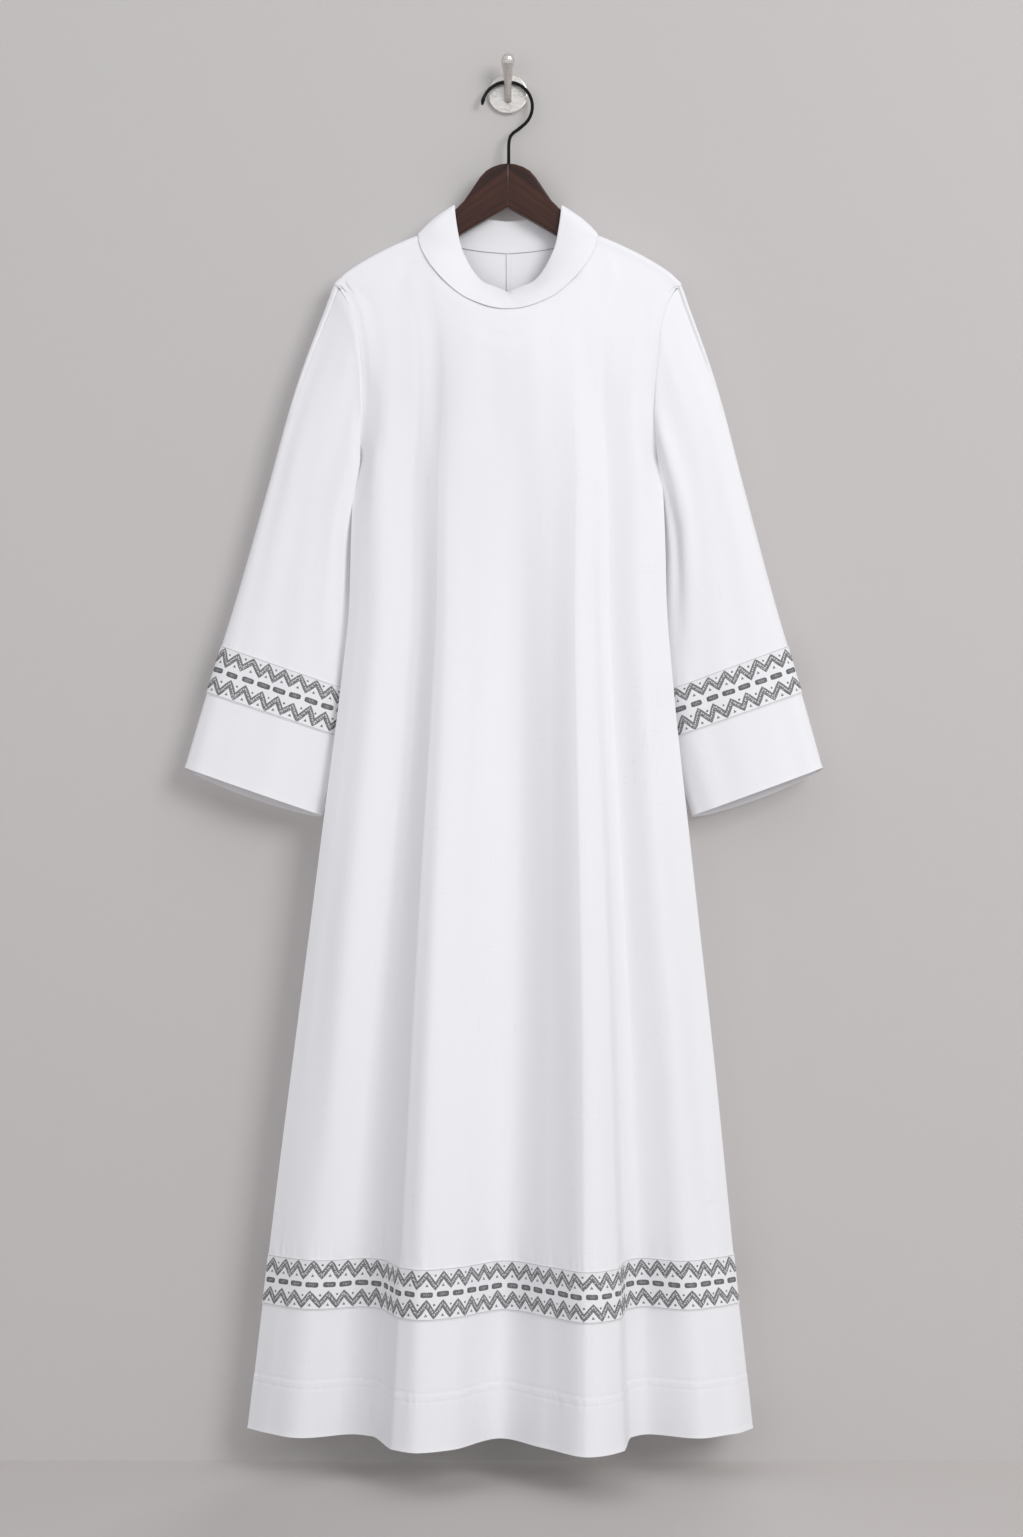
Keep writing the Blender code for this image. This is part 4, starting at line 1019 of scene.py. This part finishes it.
def make_band(name, band, closed, material):
    count = int(band.length / 3.0)
    s = np.linspace(0.0, band.length, count + 1)
    if closed:
        s = s[:-1]
    across, along = np.meshgrid(BAND_PROFILE[:, 0], s, indexing="ij")
    outer, normals = band.place(along, across, BAND_LIFT)
    outer = outer + normals * BAND_PROFILE[:, 1, None, None]
    coordinates = np.stack((along, across, np.zeros(along.shape)), axis=-1)
    return hung_shell(name, outer, normals, PLY, closed, material, coordinates)


def cord(name, line, radius, material):
    """A thin round thread along a line of points."""
    line = np.asarray(line, float)
    tangent = unit(np.gradient(line, axis=0))
    side = unit(np.cross(tangent, np.array((0.0, 1.0, 0.0))))
    up = np.cross(side, tangent)
    sides = 6
    points, faces, flat = [], [], []
    run = run_along(line)
    for i, middle in enumerate(line):
        for k in range(sides):
            turn = 2.0 * math.pi * k / sides
            points.append(middle + radius * (side[i] * math.cos(turn) + up[i] * math.sin(turn)))
            flat.append((run[i], k * 0.5, 0.0))
    for i in range(len(line) - 1):
        for k in range(sides):
            a, b = i * sides + k, i * sides + (k + 1) % sides
            faces.append((a, b, b + sides, a + sides))
    last = (len(line) - 1) * sides
    for k in range(1, sides - 1):
        faces.append((0, k + 1, k, k))
        faces.append((last, last + k, last + k + 1, last + k + 1))
    return raw_mesh(name, np.array(points), faces, material, np.array(flat))


def make_back_strip(material):
    """The felled seam down the inside of the back."""
    x = np.array((-1.6, -1.3, 0.0, 1.5, 2.9, 3.2))
    z = np.concatenate((np.linspace(-197.5, -330.0, 34), np.linspace(-334.0, HEM_Z + 8.0, 160)))
    heights, across = np.meshgrid(z, x, indexing="ij")
    u = across / half_width(across.ravel(), heights.ravel()).reshape(across.shape)
    edge, normals = panel_surface(BACK, u, heights, -0.4)
    coordinates = np.stack((across, heights, np.zeros(across.shape)), axis=-1)
    return shell("back_seam_strip", edge, normals, 0.75, False, material, coordinates)


def make_neck_seam(material):
    """A grey cord along the seam where the collar's stand is sewn to the back. Its grey is
    painted shade for the thin shadow line at that seam.
    """
    x = np.linspace(-84.0, 84.0, 85)
    u = x / half_width(x, np.full(x.shape, SIDE_LINE[0, Z]))
    z = top_height(BACK, u) - 0.4
    u = x / half_width(x, z)
    line = panel_surface(BACK, u, z, -0.25)[0]
    return cord("neck_seam_shade_thread", line, 0.38, material)


def make_hem_stitches(name, face, material):
    """Small stitches in a row along the top of the turned-up hem."""
    seam = panel_band_map(face, HEM_STITCH_Z, 1201)
    points, faces, flat = [], [], []
    for k in range(int(seam.length / STITCH_PITCH)):
        start = (k + 0.2) * STITCH_PITCH + rng.normal(0.0, 0.12)
        drop = rng.normal(0.0, 0.12)
        stitch = [(start, drop), (start + STITCH_PITCH * 0.3, drop),
                  (start + STITCH_PITCH * 0.6, drop)]
        ribbon(stitch, 0.4, 0.45, points, faces, flat, False)
    table = np.array(points)
    placed, normals = seam.place(table[:, 0], table[:, 1], CLOTH)
    return raw_mesh(name, placed + normals * table[:, 2:3], faces, material, np.array(flat))


def relief_mesh(name, band, outlines, height, material, taper=0.55):
    """Raised stitching: each outline is a loop in the band's plane, domed to a smaller loop."""
    points, faces, flat = [], [], []
    for loop in outlines:
        loop = np.asarray(loop, float)
        middle = loop.mean(axis=0)
        n = len(loop)
        start = len(points)
        for share, rise in ((1.0, ROOT), (1.0, 0.0), (taper, height)):
            ring = middle + (loop - middle) * share
            points.extend(np.column_stack((ring, np.full(n, rise))))
            flat.extend(np.column_stack((ring, np.full(n, share))))
        for level in range(2):
            for i in range(n):
                j = (i + 1) % n
                low, high = start + level * n, start + (level + 1) * n
                faces.append((low + i, low + j, high + j, high + i))
        points.append((*middle, height * 1.1))
        points.append((*middle, ROOT))
        flat.extend(((*middle, 0.0), (*middle, 0.0)))
        top, bottom = len(points) - 2, len(points) - 1
        for i in range(n):
            j = (i + 1) % n
            faces.append((start + 2 * n + i, start + 2 * n + j, top, top))
            faces.append((start + j, start + i, bottom, bottom))
    return placed_mesh(name, band, points, faces, flat, material)


def raw_mesh(name, points, faces, material, flat):
    """A mesh of faces with three corners, or three and the last one again, or four."""
    verts = world(points)
    clean = [face[:3] if face[2] == face[3] else face for face in faces]
    mesh = bpy.data.meshes.new(name)
    mesh.from_pydata(verts.tolist(), [], clean)
    mesh.update()
    total = 0.0
    for a, b, c, *rest in clean:
        total += np.dot(verts[a], np.cross(verts[b], verts[c]))
        if rest:
            total += np.dot(verts[a], np.cross(verts[c], verts[rest[0]]))
    if total < 0.0:
        mesh.flip_normals()
    return finish_piece(mesh, material, 50.0, flat)


def placed_mesh(name, band, points, faces, flat, material):
    """Lays flat stitching, given as (s, t, height) points, on its band."""
    table = np.array(points)
    placed, normals = band.place(table[:, 0], table[:, 1], BAND_LIFT)
    return raw_mesh(name, placed + normals * table[:, 2:3], faces, material, np.array(flat))


def ribbon(line, half, crown, points, faces, flat, closed):
    """Adds a raised ribbon along a line of (s, t) points, with a rounded top."""
    line = np.asarray(line, float)
    if closed:
        ahead, behind = np.roll(line, -1, axis=0), np.roll(line, 1, axis=0)
    else:
        ahead = np.vstack((line[1:], line[-1:]))
        behind = np.vstack((line[:1], line[:-1]))
    arriving = unit(line - behind)
    tangent = unit(arriving + unit(ahead - line))
    side = np.column_stack((-tangent[:, 1], tangent[:, 0]))
    reach = np.abs(arriving[:, 0] * tangent[:, 0] + arriving[:, 1] * tangent[:, 1])
    reach = np.where(reach < 1e-6, 1.0, reach)
    widen = np.minimum(1.0 / reach, MITRE_LIMIT)
    start = len(points)
    count = len(RIBBON_SECTION)
    run = run_along(line)
    for i, middle in enumerate(line):
        for across, rise in RIBBON_SECTION:
            place = middle + side[i] * across * half * widen[i]
            points.append((place[0], place[1], rise * crown if rise > 0.0 else rise))
            flat.append((run[i], across * half, abs(across)))
    spans = len(line) if closed else len(line) - 1
    for i in range(spans):
        a, b = start + i * count, start + ((i + 1) % len(line)) * count
        for k in range(count):
            m = (k + 1) % count
            faces.append((a + k, a + m, b + m, b + k))
    if not closed:
        for base, order in ((start, 1), (start + (len(line) - 1) * count, -1)):
            ring = [base + k for k in range(count)][::order]
            for k in range(1, count - 1):
                faces.append((ring[0], ring[k], ring[k + 1], ring[k + 1]))


def zigzag_line(band, middle, closed, periods):
    """The zigzag's line: short straight runs between its peaks and valleys."""
    pitch = band.length / periods
    turns = []
    count = 2 * periods
    for k in range(count + (0 if closed else 1)):
        swing = ZIGZAG_SWING if k % 2 else -ZIGZAG_SWING
        jitter = rng.normal(0.0, 0.7, 2)
        turns.append((k * pitch / 2.0 + jitter[0] * (0 < k < count), middle + swing + jitter[1]))
    line = []
    pairs = list(zip(turns, turns[1:]))
    if closed:
        end = (turns[0][0] + band.length, turns[0][1])
        pairs.append((turns[-1], end))
    for (s0, t0), (s1, t1) in pairs:
        for step in range(6):
            share = step / 6.0
            line.append((s0 + (s1 - s0) * share, t0 + (t1 - t0) * share))
    if not closed:
        line.append(turns[-1])
    return line


def make_zigzags(name, band, closed, material):
    """Both rows of zigzags, as raised ribbons."""
    periods = int(round(band.length / PERIOD))
    points, faces, flat = [], [], []
    for middle in ZIGZAG_ROWS:
        line = zigzag_line(band, middle, closed, periods)
        ribbon(line, ZIGZAG_WIDTH / 2.0, 0.55, points, faces, flat, closed)
    return placed_mesh(name, band, points, faces, flat, material)


def rounded_box(s, t, length, width, lean):
    """A rounded oblong loop of (s, t) points."""
    loop = []
    for k in range(16):
        angle = 2.0 * math.pi * (k + 0.5) / 16.0
        x = math.copysign(abs(math.cos(angle)) ** 0.45, math.cos(angle)) * length / 2.0
        y = math.copysign(abs(math.sin(angle)) ** 0.45, math.sin(angle)) * width / 2.0
        loop.append((s + x, t + y + lean * x))
    return loop


def make_dashes(name, band, material):
    """The row of dashes along the middle of the band."""
    count = int(round(band.length / PERIOD))
    pitch = band.length / count
    outlines = []
    for k in range(count):
        s = (k + 0.5) * pitch + rng.normal(0.0, 0.4)
        length = DASH[0] + rng.normal(0.0, 0.7)
        outlines.append(rounded_box(s, rng.normal(0.0, 0.25), length, DASH[1],
                                    rng.normal(0.0, 0.02)))
    return relief_mesh(name, band, outlines, 0.55, material, 0.72)


def make_specks(name, band, material):
    """Dots above each valley and small triangles under each peak of the zigzags."""
    periods = int(round(band.length / PERIOD))
    pitch = band.length / periods
    outlines = []
    for middle in ZIGZAG_ROWS:
        for k in range(periods):
            jitter = rng.normal(0.0, 0.35, 4)
            if k > 0:
                s, t = k * pitch + jitter[0], middle + DOT_RISE + jitter[1]
                turns = [2.0 * math.pi * i / 7.0 for i in range(7)]
                radius = DOT_RADIUS + 0.2 * jitter[2]
                outlines.append([(s + radius * math.cos(a), t + radius * math.sin(a))
                                 for a in turns])
            s, t = (k + 0.5) * pitch + jitter[3], middle - TRIANGLE_DROP
            outlines.append([(s + x, t + y) for x, y in TRIANGLE])
    return relief_mesh(name, band, outlines, 0.35, material, 0.5)


def make_edge_threads(name, band, closed, material):
    """A fine cord along each edge of the band."""
    points, faces, flat = [], [], []
    count = int(band.length / 3.0)
    s = np.linspace(0.0, band.length, count + 1)
    if closed:
        s = s[:-1]
    for t in EDGE_THREADS:
        line = np.column_stack((s, np.full(len(s), t)))
        ribbon(line, 0.45, 0.5, points, faces, flat, False)
    return placed_mesh(name, band, points, faces, flat, material)


def make_studio():
    """The camera, soft lamps and a plain wall and floor."""
    camera_data = bpy.data.cameras.new("camera")
    camera_data.lens = LENS
    camera_data.clip_end = 50.0
    camera = bpy.data.objects.new("camera", camera_data)
    camera.location = CAMERA
    camera.rotation_euler = (math.radians(90.0), 0.0, 0.0)
    bpy.context.scene.collection.objects.link(camera)
    bpy.context.scene.camera = camera
    bpy.context.scene.view_settings.view_transform = "Standard"

    world_light = bpy.data.worlds.new("studio")
    bpy.context.scene.world = world_light
    world_light.use_nodes = True
    background = world_light.node_tree.nodes["Background"]
    background.inputs["Color"].default_value = (0.95, 0.96, 1.0, 1.0)
    background.inputs["Strength"].default_value = 0.72

    for name, place, aim, size, power in LAMPS:
        data = bpy.data.lights.new(name, "AREA")
        data.size = size
        data.energy = power
        lamp = bpy.data.objects.new(name, data)
        lamp.location = place
        direction = np.array(aim) - np.array(place)
        flat = math.hypot(direction[0], direction[1])
        lamp.rotation_euler = (math.atan2(flat, -direction[2]), 0.0,
                               math.atan2(-direction[0], direction[1]))
        bpy.context.scene.collection.objects.link(lamp)

    wall = stage_plane("wall", (WALL_Y, WALL_TOP), (WALL_Y, FLOOR_Z),
                       plain_stage_material("wall_paint", (0.55, 0.528, 0.52), True))
    floor = stage_plane("floor", (ROOM_BEHIND, FLOOR_Z), (ROOM_AHEAD, FLOOR_Z),
                        plain_stage_material("floor_paint", (0.50, 0.475, 0.46), False))


def stage_plane(name, far, near, material):
    """A plane as wide as the room, between two edges given as (y, z)."""
    corners = ((-ROOM_HALF_WIDTH, *far), (ROOM_HALF_WIDTH, *far),
               (ROOM_HALF_WIDTH, *near), (-ROOM_HALF_WIDTH, *near))
    mesh = bpy.data.meshes.new(name)
    mesh.from_pydata(corners, [], [(0, 3, 2, 1)])
    mesh.materials.append(material)
    obj = bpy.data.objects.new(name, mesh)
    bpy.context.scene.collection.objects.link(obj)
    return obj


def paint_cad_nodes(nodes, wood, wire, nickel):
    """Gives the rigid solids their materials."""
    screws = ("wall_screw_left", "wall_screw_right", "wall_screw_bottom")
    for material, names in ((wood, ARMS), (wire, ("hanger_hook",)),
                            (nickel, ("wall_plate", "wall_peg", *screws))):
        for name in names:
            for slot in nodes[name].material_slots:
                slot.material = material


def main():
    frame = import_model()
    make_studio()

    cloth = cloth_material("alb_cloth", (0.80, 0.80, 0.825), (0.85, 0.85, 0.872))
    band_cloth = cloth_material("band_cloth", (0.76, 0.765, 0.785), (0.83, 0.835, 0.85), 1.4)
    threads = {name: thread_material(name, *look) for name, look in THREADS.items()}
    wood = wood_material("dark_walnut_grain")
    wire = metal_material("blackened_wire", (0.012, 0.012, 0.013), (0.03, 0.03, 0.032), 0.34,
                          (900.0, 900.0, 60.0))
    nickel = metal_material("satin_nickel_brushed", (0.60, 0.58, 0.55), (0.82, 0.79, 0.75), 0.36,
                            (60.0, 900.0, 900.0))

    body = (("front_panel", make_panel("alb_front", FRONT, -1.0, 1.0, cloth)),
            ("back_panel_left", make_panel("alb_back_left", BACK, -1.0, 0.0, cloth)),
            ("back_panel_right", make_panel("alb_back_right", BACK, 0.0, 1.0, cloth)),
            ("sleeve_left", make_sleeve("left", cloth)),
            ("sleeve_right", make_sleeve("right", cloth)),
            ("collar", make_collar(cloth)))
    for solid, piece in body:
        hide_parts(solid)

    # The neck seam cord's grey is painted shade along the collar's seam.
    sewing = (make_back_strip(cloth), make_neck_seam(threads["seam_shade_thread"]),
              make_hem_stitches("hem_stitches_front", FRONT, threads["white_thread"]),
              make_hem_stitches("hem_stitches_back", BACK, threads["white_thread"]))

    middle = (BAND_TOP_Z + BAND_BOTTOM_Z) / 2.0
    bands = (("hem_band_front", panel_band_map(FRONT, middle, 1601), False, "alb_front"),
             ("hem_band_back", panel_band_map(BACK, middle, 1601), False, "alb_back_left"),
             ("sleeve_band_left", sleeve_band_map("left"), True, "alb_sleeve_left"),
             ("sleeve_band_right", sleeve_band_map("right"), True, "alb_sleeve_right"))
    for name, band, closed, carrier in bands:
        piece = make_band(name + "_woven", band, closed, band_cloth)
        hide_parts(name)
        raised = (piece, make_zigzags(name + "_zigzags", band, closed, threads["grey_thread"]),
                  make_dashes(name + "_dashes", band, threads["dark_thread"]),
                  make_specks(name + "_specks", band, threads["dark_thread"]),
                  make_edge_threads(name + "_edges", band, closed, threads["edge_thread"]))

    paint_cad_nodes(frame["nodes"], wood, wire, nickel)


main()
